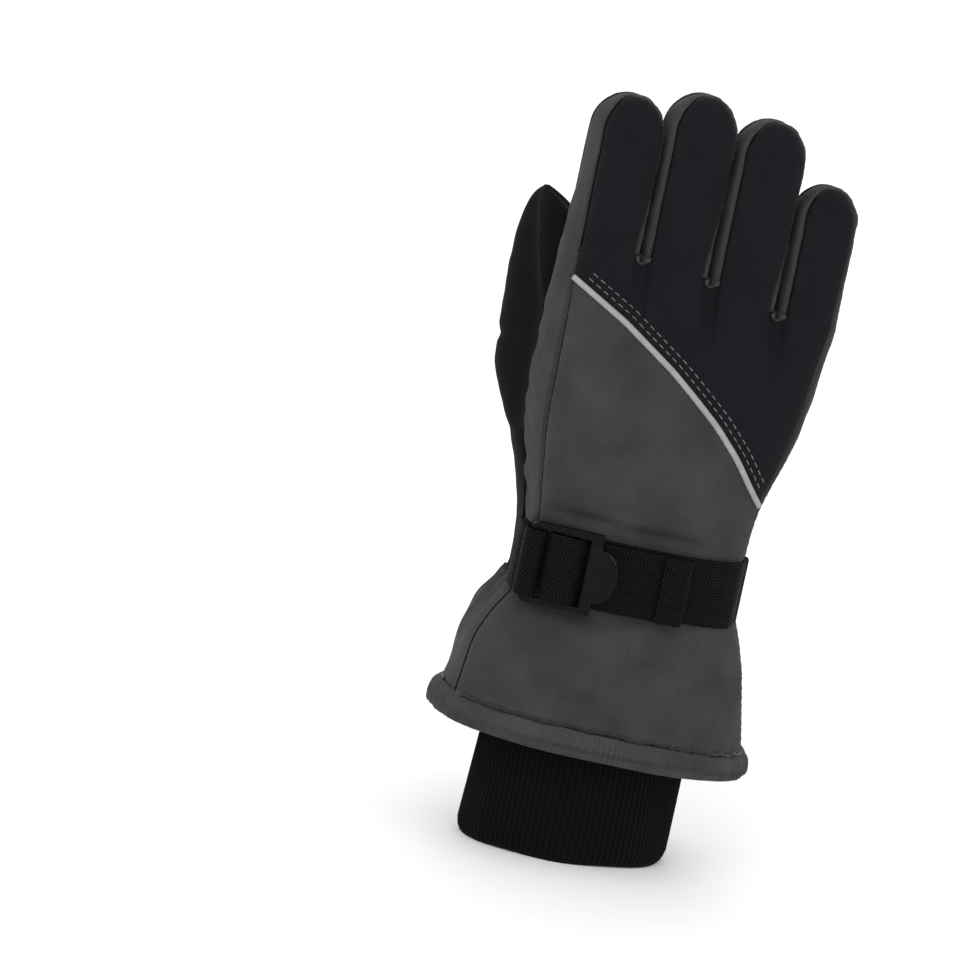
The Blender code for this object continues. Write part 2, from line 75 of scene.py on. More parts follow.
CLOTH_THICK = 1.0
SEAM_ROLL = 2.4  # how far from a seam the cloth starts to roll into it
GRID_STEP = 1.35
UV_PER_MM = 0.01
SIDE_STEPS = 12  # rows of faces across a side strip
FINGER_REACH = 8.0  # seam of a finger, in front of and behind its middle
FINGER_BULGE = 2.6
GATHER_MIDDLE = 104.0
GATHER_TILT = 0.11
LAP = 3.6  # how far the palm and the thumb reach in under the gauntlet
HEM_FOOT, HEM_TILT, HEM_HEIGHT = 41.8, -0.07, 9.5
STRAP_MIDDLE, WEBBING, WEBBING_THICK = 110.0, 25.0, 1.4
OVAL_POWER = 2.4
OVAL_TOP = 112.0
OVAL_BLEND = 14.0  # height over which the oval gauntlet turns into the flatter hand
SEAM_DIP = 0.9  # how deep the cloth rolls into an ordinary seam
HEM_DIP = 2.2
OPEN_ENDS = (0, 0, SEAM_DIP, SEAM_DIP)  # seams down both sides of a piece that runs on at its ends
NEAR_SEAM = (0.0, 0.45, 0.95, 1.6, 2.4, 3.3)  # places of the close rows of points beside a seam
WORN_WIDTH = 1.3
PUCKER_BEAT, PUCKER_SMALL_BEAT, PUCKER_DRIFT = 3.1, 1.9, 8.7
PADDING_BUMPS, CLOTH_BUMPS, LOOSE_BUMPS = 26.0, 9.0, 15.0


def eased(table, reach=6.0):
    """A reader of a table of (place, value), with its corners rounded over this reach."""
    places, values = zip(*table)
    offsets = np.linspace(-1, 1, 9)
    weights = 1.05 - offsets**2
    weights /= weights.sum()

    def read(place):
        place = np.asarray(place, float)
        return sum(w * np.interp(place + o * reach, places, values) for o, w in zip(offsets, weights))

    return read


def smooth(share):
    share = np.clip(share, 0.0, 1.0)
    return share * share * (3 - 2 * share)


def crown(share, power=2.2):
    """Height of a pillow across its width: 1 in the middle and 0 at the edge."""
    return np.clip(1 - np.abs(share) ** power, 0, 1) ** (1 / power)


def ripple(points, size, seed):
    """A smooth uneven swell, about 1 high, whose bumps are about this size across."""
    rng = np.random.default_rng(seed)
    total = np.zeros(points.shape[:-1])
    for _ in range(7):
        way = rng.normal(size=3)
        way /= np.linalg.norm(way)
        wave = size * rng.uniform(0.7, 1.5)
        total += np.sin(points @ way * (2 * math.pi / wave) + rng.uniform(0, 2 * math.pi))
    return total / 3.0


# ---- Outline of the hand and the fingers ----
# Tables of (height, value): the side seams' places across the width
seam_left = eased(
    (
        (40, -56.5), (54, -53), (77, -50), (88, -44.7), (96, -39), (104, -36.8),
        (110, -36.3), (124, -36), (140, -38.3), (155, -40.3), (166, -41), (230, -41),
    ),
    5.0,
)
seam_right = eased(
    (
        (40, 58.5), (54, 56), (77, 51.5), (88, 47.7), (96, 44), (104, 43), (110, 43), (125, 42.3),
        (140, 43.2), (152, 47.2), (170, 51.5), (190, 54.3), (202, 56.8), (206, 57.7), (230, 57.7),
    ),
    5.0,
)
# How far each side bulges past its seams
bulge_left = eased(
    (
        (40, 1.5), (110, 1.4), (128, 1.6), (140, 2.4), (155, 3.9),
        (175, 5.0), (200, 5.0), (225, 4.6), (250, 3.0), (270, 2.6),
    )
)
bulge_right = eased(
    (
        (40, 1.5), (110, 1.6), (124, 2.2), (140, 3.0), (152, 3.6),
        (170, 4.4), (190, 4.2), (203, 3.0), (222, 2.7), (250, 2.4),
    )
)
# How far the back, the palm and the side seams stand from the middle plane
back_depth = eased(
    (
        (40, 33), (54, 31), (77, 28.5), (88, 26.0), (96, 23.6), (102, 22.4), (118, 22.2),
        (128, 23.2), (140, 22.6), (155, 21.5), (180, 20), (200, 17.5), (222, 14),
    ),
    4.0,
)
palm_depth = eased(
    (
        (40, 33), (54, 31), (77, 28), (88, 25.2), (97, 22.6), (104, 21.2), (112, 21.6),
        (124, 22.4), (140, 21.8), (155, 20.8), (180, 18.6), (200, 16.5), (222, 13.5),
    ),
    4.0,
)
side_reach = eased(
    (
        (104, 10.5), (120, 12.0), (150, 12.5), (180, 11.5), (205, 9.8),
        (222, FINGER_REACH), (240, FINGER_REACH),
    )
)

# Middle of its width, half width between its seams, top of its straight part, height of its round tip, depth
FINGERS = {
    "index": (-30.3, 10.4, 267.4, 10.6, 11.8),
    "middle": (-3.8, 10.4, 270.8, 11.0, 11.8),
    "ring": (23.2, 10.4, 265.6, 10.6, 11.8),
    "little": (48.6, 8.9, 246.4, 9.0, 11.0),
}
CROTCH_HALF = 3.0
# The line where the fingers leave the hand, over the width
FOOT_LINE = ((-41, 224), (-13.9, 223.8), (6.9, 219), (13.1, 219), (33.9, 210.5), (39.9, 210.5), (57.7, 209))
CROTCHES = {
    ("index", "middle"): (-16.9, 223.8),
    ("middle", "ring"): (10.0, 219.0),
    ("ring", "little"): (36.9, 210.5),
}
FOOT_BLEND = 25.0
BACK_REACH, BACK_TIP = 0.15, 3.0  # how far a finger's back reaches past its palm, beside and over its tip
KNUCKLE_DROP = 22.0  # from the top of a finger's straight part down to its knuckle
# The seam between the two cloths of the back: place across, height
diagonal = eased(
    (
        (-44, 215.3), (-40, 213), (-20, 201), (0, 186.5), (10, 178),
        (20, 169), (30, 158), (38, 147), (48, 134.5), (52, 129),
    ),
    3.0,
)


def foot(x):
    """Height at which the fingers leave the hand, with a round notch under each crotch."""
    x = np.asarray(x, float)
    height = np.interp(x, *zip(*FOOT_LINE))
    for middle, top in CROTCHES.values():
        inside = np.abs(x - middle) < CROTCH_HALF
        dip = top - np.sqrt(np.clip(CROTCH_HALF**2 - (x - middle) ** 2, 0, None))
        height = np.where(inside, dip, height)
    return height


def hem_line(x):
    return HEM_FOOT + HEM_TILT * x + HEM_HEIGHT - 0.6


def gather_line(x):
    return GATHER_MIDDLE + GATHER_TILT * (x - 4)


def tucked(x, z):
    """1 where the palm or the thumb has gone in under the gauntlet."""
    return smooth((gather_line(x) + 0.6 - z) / 2.6)


def across(x, z):
    """Place across the hand: -1 at the thumb side's seam and 1 at the little finger's."""
    low, high = seam_left(z), seam_right(z)
    return 2 * (x - low) / (high - low) - 1


def leave(x, z):
    """0 on the hand and 1 where the fingers start."""
    return smooth((z - foot(x) + FOOT_BLEND) / FOOT_BLEND)


def widths(z):
    """Half the width between the side seams, and how far the sides bulge past them."""
    return (seam_right(z) - seam_left(z)) / 2, (bulge_left(z) + bulge_right(z)) / 2


def seam_turn(z):
    """How far behind the side each seam of the gauntlet lies, as a turn of its oval section."""
    half, bulge = widths(z)
    return np.arccos((half / (half + bulge)) ** (OVAL_POWER / 2))


def oval_reach(z):
    """Distance of the gauntlet's two side seams behind its middle, on an oval section."""
    return back_depth(z) * np.sin(seam_turn(z)) ** (2 / OVAL_POWER)


def reach(x, z):
    """Distance of a side seam from the middle plane."""
    high = smooth((z - OVAL_TOP) / OVAL_BLEND)
    plain = (1 - high) * oval_reach(z) + high * side_reach(z)
    share = leave(x, z)
    return (1 - share) * plain + share * FINGER_REACH


def crease(x, z, start, end, width, depth):
    """A valley along a line on the back or the palm, deepest in its middle."""
    (x0, z0), (x1, z1) = start, end
    length = math.hypot(x1 - x0, z1 - z0)
    ux, uz = (x1 - x0) / length, (z1 - z0) / length
    along = (x - x0) * ux + (z - z0) * uz
    off = (x - x0) * -uz + (z - z0) * ux
    share = along / length
    fade = smooth(share * 4 + 0.4) * smooth((1 - share) * 4 + 0.4)
    return -depth * np.exp(-((off / width) ** 2)) * fade


# Start, end, width and depth of each fold
BACK_CREASES = (
    ((-46, 88), (-50, 66), 2.6, 1.3),
    ((-22, 90), (-27, 72), 3.0, 0.9),
    ((2, 90), (0, 76), 3.4, 0.7),
    ((26, 91), (29, 70), 3.0, 0.9),
    ((45, 90), (50, 68), 2.8, 1.1),
    ((-36, 129), (-9, 127.5), 1.8, 2.4),
    ((-16, 133), (6, 131), 2.4, 0.6),
    ((-6, 126.5), (24, 124.5), 1.9, 2.1),
    ((16, 131), (42, 127), 2.2, 0.7),
    ((-33, 94), (-12, 92.5), 2.0, 2.0),
    ((-12, 91), (8, 94), 2.0, 0.7),
    ((14, 93), (38, 95), 2.0, 0.9),
    ((-40, 97), (-49, 76), 1.8, 0.9),
    ((-34, 92), (-38, 78), 2.2, 0.7),
    ((33, 93), (36, 78), 2.4, 0.7),
    ((40, 94), (48, 74), 2.2, 0.7),
    ((-34, 140), (-30, 128), 1.8, 0.5),
    ((36, 140), (32, 129), 2.4, 0.5),
    ((-16.9, 219), (-15, 209), 2.2, 0.5),
    ((10, 214), (12, 205), 2.2, 0.5),
    ((36.9, 206), (30, 201), 2.2, 0.6),
)
PALM_CREASES = (
    ((-40, 219), (-19, 217), 2.6, 0.9),
    ((-15, 217), (6, 212), 2.6, 1.0),
    ((12, 212), (34, 203), 2.6, 1.0),
    ((40, 204), (58, 201), 2.4, 0.8),
    ((-16.9, 222), (-11, 192), 4.6, 0.9),
    ((10, 217), (10, 188), 4.6, 0.9),
    ((36.9, 209), (31, 182), 4.6, 0.8),
    ((-30, 203), (20, 186), 5.0, 1.0),
    ((6, 190), (54, 176), 5.0, 1.0),
    ((12, 160), (50, 150), 4.0, 0.7),
    ((16, 136), (42, 130), 3.0, 0.6),
)


def padding(x, z, side):
    """The uneven fullness of the padding, and its folds."""
    points = np.stack(np.broadcast_arrays(x, 40.0 * side, z), axis=-1)
    total = 0.38 * ripple(points, PADDING_BUMPS, 3 + side) + 0.12 * ripple(points, CLOTH_BUMPS, 7 + side)
    for start, end, width, depth in BACK_CREASES if side < 0 else PALM_CREASES:
        total = total + crease(x, z, start, end, width, depth)
    return total


def swell(x, z, side):
    """The padding of the hand, which lies looser down on the gauntlet."""
    points = np.stack(np.broadcast_arrays(x, 40.0 * side, z), axis=-1)
    return padding(x, z, side) + smooth((100 - z) / 20) * ripple(points, LOOSE_BUMPS, 11 + side)


def gathers(x, z, side):
    """Small pleats that run away from the elastic at the wrist, which is tighter on the palm side."""
    line = gather_line(x) if side > 0 else STRAP_MIDDLE
    off = z - line
    place = x / (1 + np.clip(-off, 0, 60) / 150)
    wave = 0.7 * np.sin(place * 0.78 + 1.3 * np.sin(x * 0.21 + side)) + 0.3 * np.sin(place * 1.73 + 2)
    fade_up = 7.0 if side > 0 else 14.0
    fall = np.where(off < 0, np.exp(off / 15.0), np.exp(-off / fade_up))
    return (0.95 * smooth(off / 4.0) if side > 0 else 0.3) * wave * fall


def pillow(x, z, side):
    """How far the back (side -1) or the palm (side 1) stands from the middle plane."""
    base_crown = crown(across(x, z))
    depth = (back_depth if side < 0 else palm_depth)(z)
    edge = reach(x, z)
    finger_crown, finger_depth = np.zeros(np.shape(x + z)), FINGER_REACH
    for middle, half, _, _, deep in FINGERS.values():
        share = np.abs(x - middle) / half
        own = crown(share)
        finger_depth = np.where(share < 1.15, deep, finger_depth)
        finger_crown = np.maximum(finger_crown, own)
    share = leave(x, z)
    hand = edge + (depth - edge) * base_crown
    finger = FINGER_REACH + (finger_depth - FINGER_REACH) * finger_crown
    whole_crown = (1 - share) * base_crown + share * finger_crown
    folds = swell(x, z, side) + (1 - share) * gathers(x, z, side)
    return (1 - share) * hand + share * finger + whole_crown * folds


def stations(length, fine_start=True, fine_end=True, step=GRID_STEP):
    """Shares along a length, close together near a seam."""
    first = list(NEAR_SEAM) if fine_start else [0.0]
    last = [length - d for d in reversed(NEAR_SEAM)] if fine_end else [length]
    middle = np.linspace(first[-1], last[0], max(2, int(round((last[0] - first[-1]) / step)) + 1))
    return np.array(first[:-1] + list(middle) + last[1:]) / length


# ---- Meshes ----
def world(points):
    return (np.asarray(points, float) + SHIFT) * MM


def grid_normals(grid, ring=False):
    if ring:
        grid = np.concatenate([grid[:, -2:], grid, grid[:, :2]], axis=1)
    normals = np.cross(np.gradient(grid, axis=1), np.gradient(grid, axis=0))
    normals /= np.maximum(np.linalg.norm(normals, axis=2, keepdims=True), 1e-9)
    return normals[:, 2:-2] if ring else normals


def run_lengths(grid, axis):
    steps = np.linalg.norm(np.diff(grid, axis=axis), axis=2)
    zero = np.zeros_like(np.take(steps, [0], axis=axis))
    return np.concatenate([zero, np.cumsum(steps, axis=axis)], axis=axis)


def quads(rows, cols, ring=False, start=0):
    """The four-sided faces of a grid of points."""
    row = start + np.arange(rows - 1)[:, None] * cols
    col = np.arange(cols if ring else cols - 1)[None, :]
    after = (col + 1) % cols
    corners = np.broadcast_arrays(row + col, row + after, row + cols + after, row + cols + col)
    return np.stack(corners, axis=2).reshape(-1, 4)


def add_mesh(name, points, faces, finish, uv=None, edge=None, sharp=50.0):
    """A piece from points in millimetres. uv and edge are values of its points."""
    mesh = bpy.data.meshes.new(name)
    mesh.from_pydata(world(points).tolist(), [], [tuple(f) for f in faces])
    mesh.validate()
    shape = bmesh.new()
    shape.from_mesh(mesh)
    bmesh.ops.recalc_face_normals(shape, faces=shape.faces)
    shape.to_mesh(mesh)
    shape.free()
    if uv is not None:
        corners = np.empty(len(mesh.loops), np.int32)
        mesh.loops.foreach_get("vertex_index", corners)
        layer = mesh.uv_layers.new(name="cloth")
        layer.data.foreach_set("uv", np.asarray(uv, np.float32)[corners].ravel())
    # Edge values: wear along the cloth's seams, painted shade in the knit's rib grooves, painted highlight
    # along the buckle's edges.
    wear_and_painted_light = np.zeros(len(mesh.vertices), np.float32) if edge is None else np.asarray(edge, np.float32)
    mesh.attributes.new("edge", "FLOAT", "POINT").data.foreach_set("value", wear_and_painted_light)
    mesh.polygons.foreach_set("use_smooth", np.ones(len(mesh.polygons), bool))
    mesh.set_sharp_from_angle(angle=math.radians(sharp))
    mesh.materials.append(finish)
    obj = bpy.data.objects.new(name, mesh)
    bpy.context.scene.collection.objects.link(obj)
    return obj


def slab(name, outer, inner, finish, ring=False, uv=None, edge=None):
    """A closed wall between two grids of points."""
    rows, cols = outer.shape[:2]
    count = rows * cols
    faces = [quads(rows, cols, ring), quads(rows, cols, ring, count)[:, ::-1]]
    for row in (0, rows - 1):
        j = np.arange(cols if ring else cols - 1)
        a, b = row * cols + j, row * cols + (j + 1) % cols
        rim = np.stack([b, a, a + count, b + count], axis=1)
        faces.append(rim if row == 0 else rim[:, ::-1])
    if not ring:
        for col in (0, cols - 1):
            i = np.arange(rows - 1)
            a, b = i * cols + col, (i + 1) * cols + col
            rim = np.stack([a, b, b + count, a + count], axis=1)
            faces.append(rim if col == 0 else rim[:, ::-1])
    points = np.concatenate([outer.reshape(-1, 3), inner.reshape(-1, 3)])
    if uv is None:
        uv = np.stack([run_lengths(outer, 1), run_lengths(outer, 0)], axis=2)
    uv = np.tile(uv.reshape(-1, 2) * UV_PER_MM, (2, 1))
    edge = np.zeros(count) if edge is None else edge.ravel()
    return add_mesh(name, points, np.concatenate(faces), finish, uv, np.tile(edge, 2))


def panel(name, grid, finish, seams=(SEAM_DIP,) * 4, ring=False, pucker=0.16, facing=None, thick=CLOTH_THICK):
    """A piece of cloth over a grid of points. seams says how deep the cloth rolls in at its first row, last
    row, first column and last column, and 0 where it runs on into the next piece. It faces away from the
    point given as facing."""
    normals = grid_normals(grid, ring)
    if facing is not None and np.sum(normals * (grid - np.asarray(facing))) < 0:
        normals = -normals
    along, over = run_lengths(grid, 0), run_lengths(grid, 1)
    distances = (along, along[-1:] - along, over, over[:, -1:] - over)
    runs = (over, over, along, along)
    sink, edge, wave = np.zeros(grid.shape[:2]), np.zeros(grid.shape[:2]), np.zeros(grid.shape[:2])
    for depth, distance, run in zip(seams, distances, runs):
        if depth == 0.0:
            continue
        roll = np.clip(1 - distance / SEAM_ROLL, 0, 1) ** 2
        sink = np.where(np.abs(depth * roll) > np.abs(sink), depth * roll, sink)
        edge = np.maximum(edge, np.exp(-distance / WORN_WIDTH))
        beat = np.sin(run / PUCKER_BEAT * 2 * math.pi + 2.0 * np.sin(run / PUCKER_DRIFT))
        beat = beat + 0.5 * np.sin(run / PUCKER_SMALL_BEAT * 2 * math.pi)
        wave += beat * np.exp(-distance / 3.0) * np.clip(distance / 2.0, 0, 1)
    outer = grid + normals * (pucker * wave - sink)[:, :, None]
    return slab(name, outer, outer - normals * thick, finish, ring, edge=edge)


def describe(nodes):
    """Hides the imported nodes that a piece stands for."""
    if nodes:
        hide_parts(*nodes)


def attach(obj, body, *nodes, slot=None, fill=None):
    """A piece that moves with one body."""
    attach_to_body(obj, body)
    describe(nodes)


def bend_with(obj, body, start, end, *nodes, slot=None, fill=None):
    """A piece of a finger or the thumb, with its transform baked into its mesh."""
    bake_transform(obj)
    describe(nodes)


# ---- Finishes ----
def add_node(tree, kind, inputs=(), **settings):
    made = tree.nodes.new("ShaderNode" + kind)
    for key, value in settings.items():
        setattr(made, key, value)
    for key, value in dict(inputs).items():
        if isinstance(value, bpy.types.NodeSocket):
            tree.links.new(value, made.inputs[key])
        else:
            made.inputs[key].default_value = value
    return made


def math_node(tree, operation, first, second=0.0):
    return add_node(tree, "Math", {0: first, 1: second}, operation=operation).outputs[0]


def times(tree, first, second):
    return math_node(tree, "MULTIPLY", first, second)


def plus(tree, first, second):
    return math_node(tree, "ADD", first, second)


def humps(tree, turns):
    """A row of round humps, one for each step of the value."""
    return math_node(tree, "ABSOLUTE", math_node(tree, "SINE", times(tree, turns, math.pi)))


def mix_colour(tree, share, first, second, blend="MIX"):
    made = add_node(tree, "Mix", {0: share, 6: first, 7: second}, data_type="RGBA", blend_type=blend)
    return made.outputs[2]


def grey(value, tint=(1.0, 1.0, 1.0)):
    return (value * tint[0], value * tint[1], value * tint[2], 1.0)


def scaled(colour, by):
    return tuple(c * by for c in colour[:3]) + (1.0,)


def start_finish(name, **constants):
    made = bpy.data.materials.new(name)
    made.use_nodes = True
    shader = made.node_tree.nodes["Principled BSDF"]
    for key, value in constants.items():
        shader.inputs[key.replace("_", " ")].default_value = value
    return made, made.node_tree


def end_finish(made, colour, normal=None, roughness=None):
    """Leads a pattern's colour, relief and roughness into the finish."""
    inputs = made.node_tree.nodes["Principled BSDF"].inputs
    for socket, value in (("Base Color", colour), ("Normal", normal), ("Roughness", roughness)):
        if value is not None:
            made.node_tree.links.new(value, inputs[socket])
    return made


def object_space(tree):
    return add_node(tree, "TexCoord").outputs["Object"]


def cloth_space(tree, pitch=1.0):
    """The cloth's own map in steps of this pitch, in millimetres."""
    place = add_node(tree, "TexCoord").outputs["UV"]
    size = 1 / (UV_PER_MM * pitch)
    return add_node(tree, "Mapping", {"Vector": place, "Scale": (size, size, size)}).outputs[0]


def edge_wear_and_painted_light(tree):
    # Reads the edge values: wear along the cloth's seams, lighter along the top of the hem roll, painted
    # shade in the knit's grooves, painted highlight along the buckle's edges.
    return add_node(tree, "Attribute", attribute_name="edge").outputs["Fac"]


def noise(tree, place, scale, detail=2.0, rough=0.5):
    made = add_node(tree, "TexNoise", {"Vector": place, "Scale": scale, "Detail": detail, "Roughness": rough})
    return made.outputs[0]


def ramp(tree, value, low, high, first=0.0, second=1.0):
    made = add_node(tree, "MapRange", {0: value, 1: low, 2: high, 3: first, 4: second})
    return made.outputs[0]


def bump(tree, height, strength, depth, below=None):
    inputs = {"Height": height, "Strength": strength, "Distance": depth}
    if below is not None:
        inputs["Normal"] = below
    return add_node(tree, "Bump", inputs).outputs[0]


def vector_step(tree, operation, first, second=(0.0, 0.0, 0.0), output=0):
    return add_node(tree, "VectorMath", {0: first, 1: second}, operation=operation).outputs[output]


def weave_height(tree, place):
    """Threads that pass over and under each other, one to each step of the place."""
    split = add_node(tree, "SeparateXYZ", {0: place})
    weft, warp = (humps(tree, split.outputs[k]) for k in (0, 1))
    over = add_node(tree, "TexChecker", {"Vector": place, "Color1": grey(0), "Color2": grey(1), "Scale": 1.0})
    made = add_node(tree, "Mix", {0: over.outputs[1], 2: weft, 3: warp}, data_type="FLOAT")
    return made.outputs[0]


def cloth_finish(name, colour, pitch, wear_and_painted_light, roughness, sheen, depth, mottle):
    """Brushed woven cloth: threads with painted shade in the grooves between them, uneven dye, slubs, and a
    lighter worn edge along its seams.
    """
    made, tree = start_finish(
        name, Roughness=roughness, Sheen_Weight=sheen, Sheen_Roughness=0.45, Specular_IOR_Level=0.10
    )
    threads = weave_height(tree, cloth_space(tree, pitch))
    plain = cloth_space(tree)
    slub = noise(tree, plain, 0.9, 3.0, 0.7)
    stretched = add_node(tree, "Mapping", {"Vector": plain, "Scale": (0.35, 2.2, 1.0)}).outputs[0]
    streak = noise(tree, stretched, 1.4, 2.0, 0.6)
    dye = noise(tree, plain, 0.045, 2.0, 0.5)
    fuzz = noise(tree, plain, 2.6, 2.0, 0.6)
    dark, light = scaled(colour, 1 - mottle * 1.6), scaled(colour, 1 + mottle)
    base = mix_colour(tree, ramp(tree, dye, 0.3, 0.7), dark, light)
    fine = plus(tree, times(tree, threads, 0.55), times(tree, slub, 0.45))
    # Painted shade: the colour is darkened in the grooves between the threads, mixed with the slubs' uneven
    # tone.
    thread_groove_shade_and_slub_tone = ramp(tree, fine, 0.15, 0.8, 1 - 2.2 * mottle, 1 + 1.6 * mottle)
    thread_groove_shade_and_slub_tone = add_node(tree, "CombineColor", {0: thread_groove_shade_and_slub_tone, 1: thread_groove_shade_and_slub_tone, 2: thread_groove_shade_and_slub_tone}).outputs[0]
    base = mix_colour(tree, 1.0, base, thread_groove_shade_and_slub_tone, "MULTIPLY")
    patchy = times(tree, edge_wear_and_painted_light(tree), ramp(tree, slub, 0.35, 0.65, 0.25, 0.9))
    base = mix_colour(tree, patchy, base, wear_and_painted_light)
    normal = bump(tree, ramp(tree, streak, 0.3, 0.7), 0.25, depth * 0.8)
    normal = bump(tree, fuzz, 0.35, depth, normal)
    rough = ramp(tree, fine, 0.2, 0.8, roughness + 0.08, roughness - 0.06)
    return end_finish(made, base, bump(tree, threads, 0.5, depth, normal), rough)


def grip_finish(name):
    """Coated palm cloth, with close rows of round pits, painted near-black as shade."""
    made, tree = start_finish(name, Specular_IOR_Level=0.22)
    rows = {"Vector": cloth_space(tree, 1.28), "Rotation": (0, 0, math.radians(4))}
    turned = add_node(tree, "Mapping", rows).outputs[0]
    centre = vector_step(tree, "SUBTRACT", vector_step(tree, "FRACTION", turned), (0.5, 0.5, 0.0))
    flat = vector_step(tree, "MULTIPLY", centre, (1.0, 1.0, 0.0))
    pit = ramp(tree, vector_step(tree, "LENGTH", flat, output="Value"), 0.20, 0.34)
    plain = cloth_space(tree)
    broad = noise(tree, plain, 0.05, 3.0, 0.5)
    grain = noise(tree, plain, 3.0, 2.0, 0.6)
    ground = mix_colour(tree, ramp(tree, broad, 0.35, 0.65), grey(0.028), grey(0.040))
    ground = mix_colour(tree, ramp(tree, grain, 0.3, 0.7, 0.0, 0.3), ground, grey(0.022))
    ground = mix_colour(tree, times(tree, edge_wear_and_painted_light(tree), 0.5), ground, grey(0.075))
    # Painted shade: the pits are near-black, darker than the coating round them.
    base = mix_colour(tree, pit, grey(0.006), ground)
    normal = bump(tree, pit, 0.9, 0.00022, bump(tree, grain, 0.25, 0.00008))
    return end_finish(made, base, normal, ramp(tree, grain, 0.3, 0.7, 0.42, 0.56))


def reflective_finish(name):
    """Tape of tiny glass beads, with some grime."""
    made, tree = start_finish(name, Metallic=0.15, Specular_IOR_Level=0.6)
    plain = cloth_space(tree)
    beads = add_node(tree, "TexVoronoi", {"Vector": plain, "Scale": 5.0}).outputs["Distance"]
    grime = noise(tree, plain, 0.25, 3.0, 0.6)
    base = mix_colour(tree, ramp(tree, grime, 0.35, 0.7), grey(0.36, (1.0, 1.0, 1.01)), grey(0.27))
    base = mix_colour(tree, ramp(tree, beads, 0.0, 0.6, 0.0, 0.35), base, grey(0.2))
    return end_finish(made, base, bump(tree, beads, 0.35, 0.0001), ramp(tree, grime, 0.3, 0.7, 0.38, 0.55))


def knit_finish(name):
    """Ribbed knit: rows of small V stitches with a little fluff, with painted shade low in the stitches and
    in the grooves between the ribs.
    """
    made, tree = start_finish(
        name, Roughness=0.92, Sheen_Weight=0.03, Sheen_Roughness=0.5, Specular_IOR_Level=0.05
    )
    plain = cloth_space(tree)
    split = add_node(tree, "SeparateXYZ", {0: plain})
    wale = math_node(tree, "PINGPONG", split.outputs[0], 0.7)
    climb = plus(tree, times(tree, split.outputs[1], 1 / 1.3), times(tree, wale, 0.8))
    fluff = noise(tree, plain, 1.7, 3.0, 0.7)
    height = plus(tree, times(tree, humps(tree, climb), 0.7), times(tree, fluff, 0.3))
    # Painted shade: the knit is darker where its stitches are low.
    base = mix_colour(tree, ramp(tree, height, 0.25, 0.9), grey(0.0022), grey(0.0060))
    # Painted shade: darker in the grooves between the ribs, which the edge values mark on this piece.
    base = mix_colour(tree, times(tree, edge_wear_and_painted_light(tree), 0.6), base, grey(0.0012))
    return end_finish(made, base, bump(tree, height, 0.7, 0.0003))


def webbing_finish(name, colour):
    """Herringbone webbing of round cords, with painted highlights on their tops."""
    made, tree = start_finish(name, Specular_IOR_Level=0.05)
    plain = cloth_space(tree)
    split = add_node(tree, "SeparateXYZ", {0: plain})
    zig = math_node(tree, "PINGPONG", split.outputs[1], 2.1)
    lean = plus(tree, split.outputs[0], times(tree, zig, 0.8))
    twill = humps(tree, times(tree, lean, 1 / 1.25))
    cord = humps(tree, split.outputs[1])
    height = times(tree, twill, plus(tree, times(tree, cord, 0.6), 0.4))
    fluff = noise(tree, plain, 2.0, 3.0, 0.7)
    # Painted highlight: the tops of the cords are made up to 26 times lighter, broken up by fluff.
    painted_cord_highlight = times(tree, ramp(tree, height, 0.5, 1.0), ramp(tree, fluff, 0.35, 0.65, 0.1, 1.0))
    base = mix_colour(tree, painted_cord_highlight, colour, scaled(colour, 26.0))
    return end_finish(made, base, bump(tree, height, 0.8, 0.0003), ramp(tree, height, 0.2, 0.9, 0.75, 0.5))


def plastic_finish(name):
    """Moulded nylon with a fine spark grain and painted highlights along its edges."""
    made, tree = start_finish(name, Specular_IOR_Level=0.10)
    grain = noise(tree, object_space(tree), 2600.0, 2.0, 0.6)
    scuff = noise(tree, object_space(tree), 240.0, 4.0, 0.7)
    base = mix_colour(tree, ramp(tree, scuff, 0.45, 0.75), grey(0.0022), grey(0.0045))
    # Painted highlight: a light grey along the rounded edges, where the edge values are high on this piece.
    base = mix_colour(tree, times(tree, edge_wear_and_painted_light(tree), 0.75), base, grey(0.05))
    return end_finish(made, base, bump(tree, grain, 0.25, 0.00006), ramp(tree, scuff, 0.3, 0.7, 0.33, 0.5))


def fluffy_finish(name, colour, scale=1.2):
    """Fleece, wadding or covered elastic."""
    made, tree = start_finish(name, Roughness=0.95, Sheen_Weight=0.4, Specular_IOR_Level=0.1)
    pile = noise(tree, object_space(tree), 900.0 / scale, 4.0, 0.7)
    base = mix_colour(tree, ramp(tree, pile, 0.3, 0.7), colour, scaled(colour, 1.5))
    return end_finish(made, base, bump(tree, pile, 0.8, 0.0005))


def thread_finish(name, colour):
    made, tree = start_finish(name, Roughness=0.6, Sheen_Weight=0.2, Specular_IOR_Level=0.35)
    lay = {"Vector": object_space(tree), "Scale": 1400.0, "Distortion": 1.0}
    twist = add_node(tree, "TexWave", lay, bands_direction="DIAGONAL").outputs["Fac"]
    # Painted shade: the thread is darker in the grooves of its twist.
    base = mix_colour(tree, twist, scaled(colour, 0.55), colour)
    return end_finish(made, base, bump(tree, twist, 0.5, 0.00005))


BLACK = (0.0066, 0.0070, 0.0090, 1.0)
SHELL_GREY = grey(0.041, (1.0, 1.0, 1.03))
GAUNTLET_GREY = grey(0.046, (1.0, 1.0, 1.02))
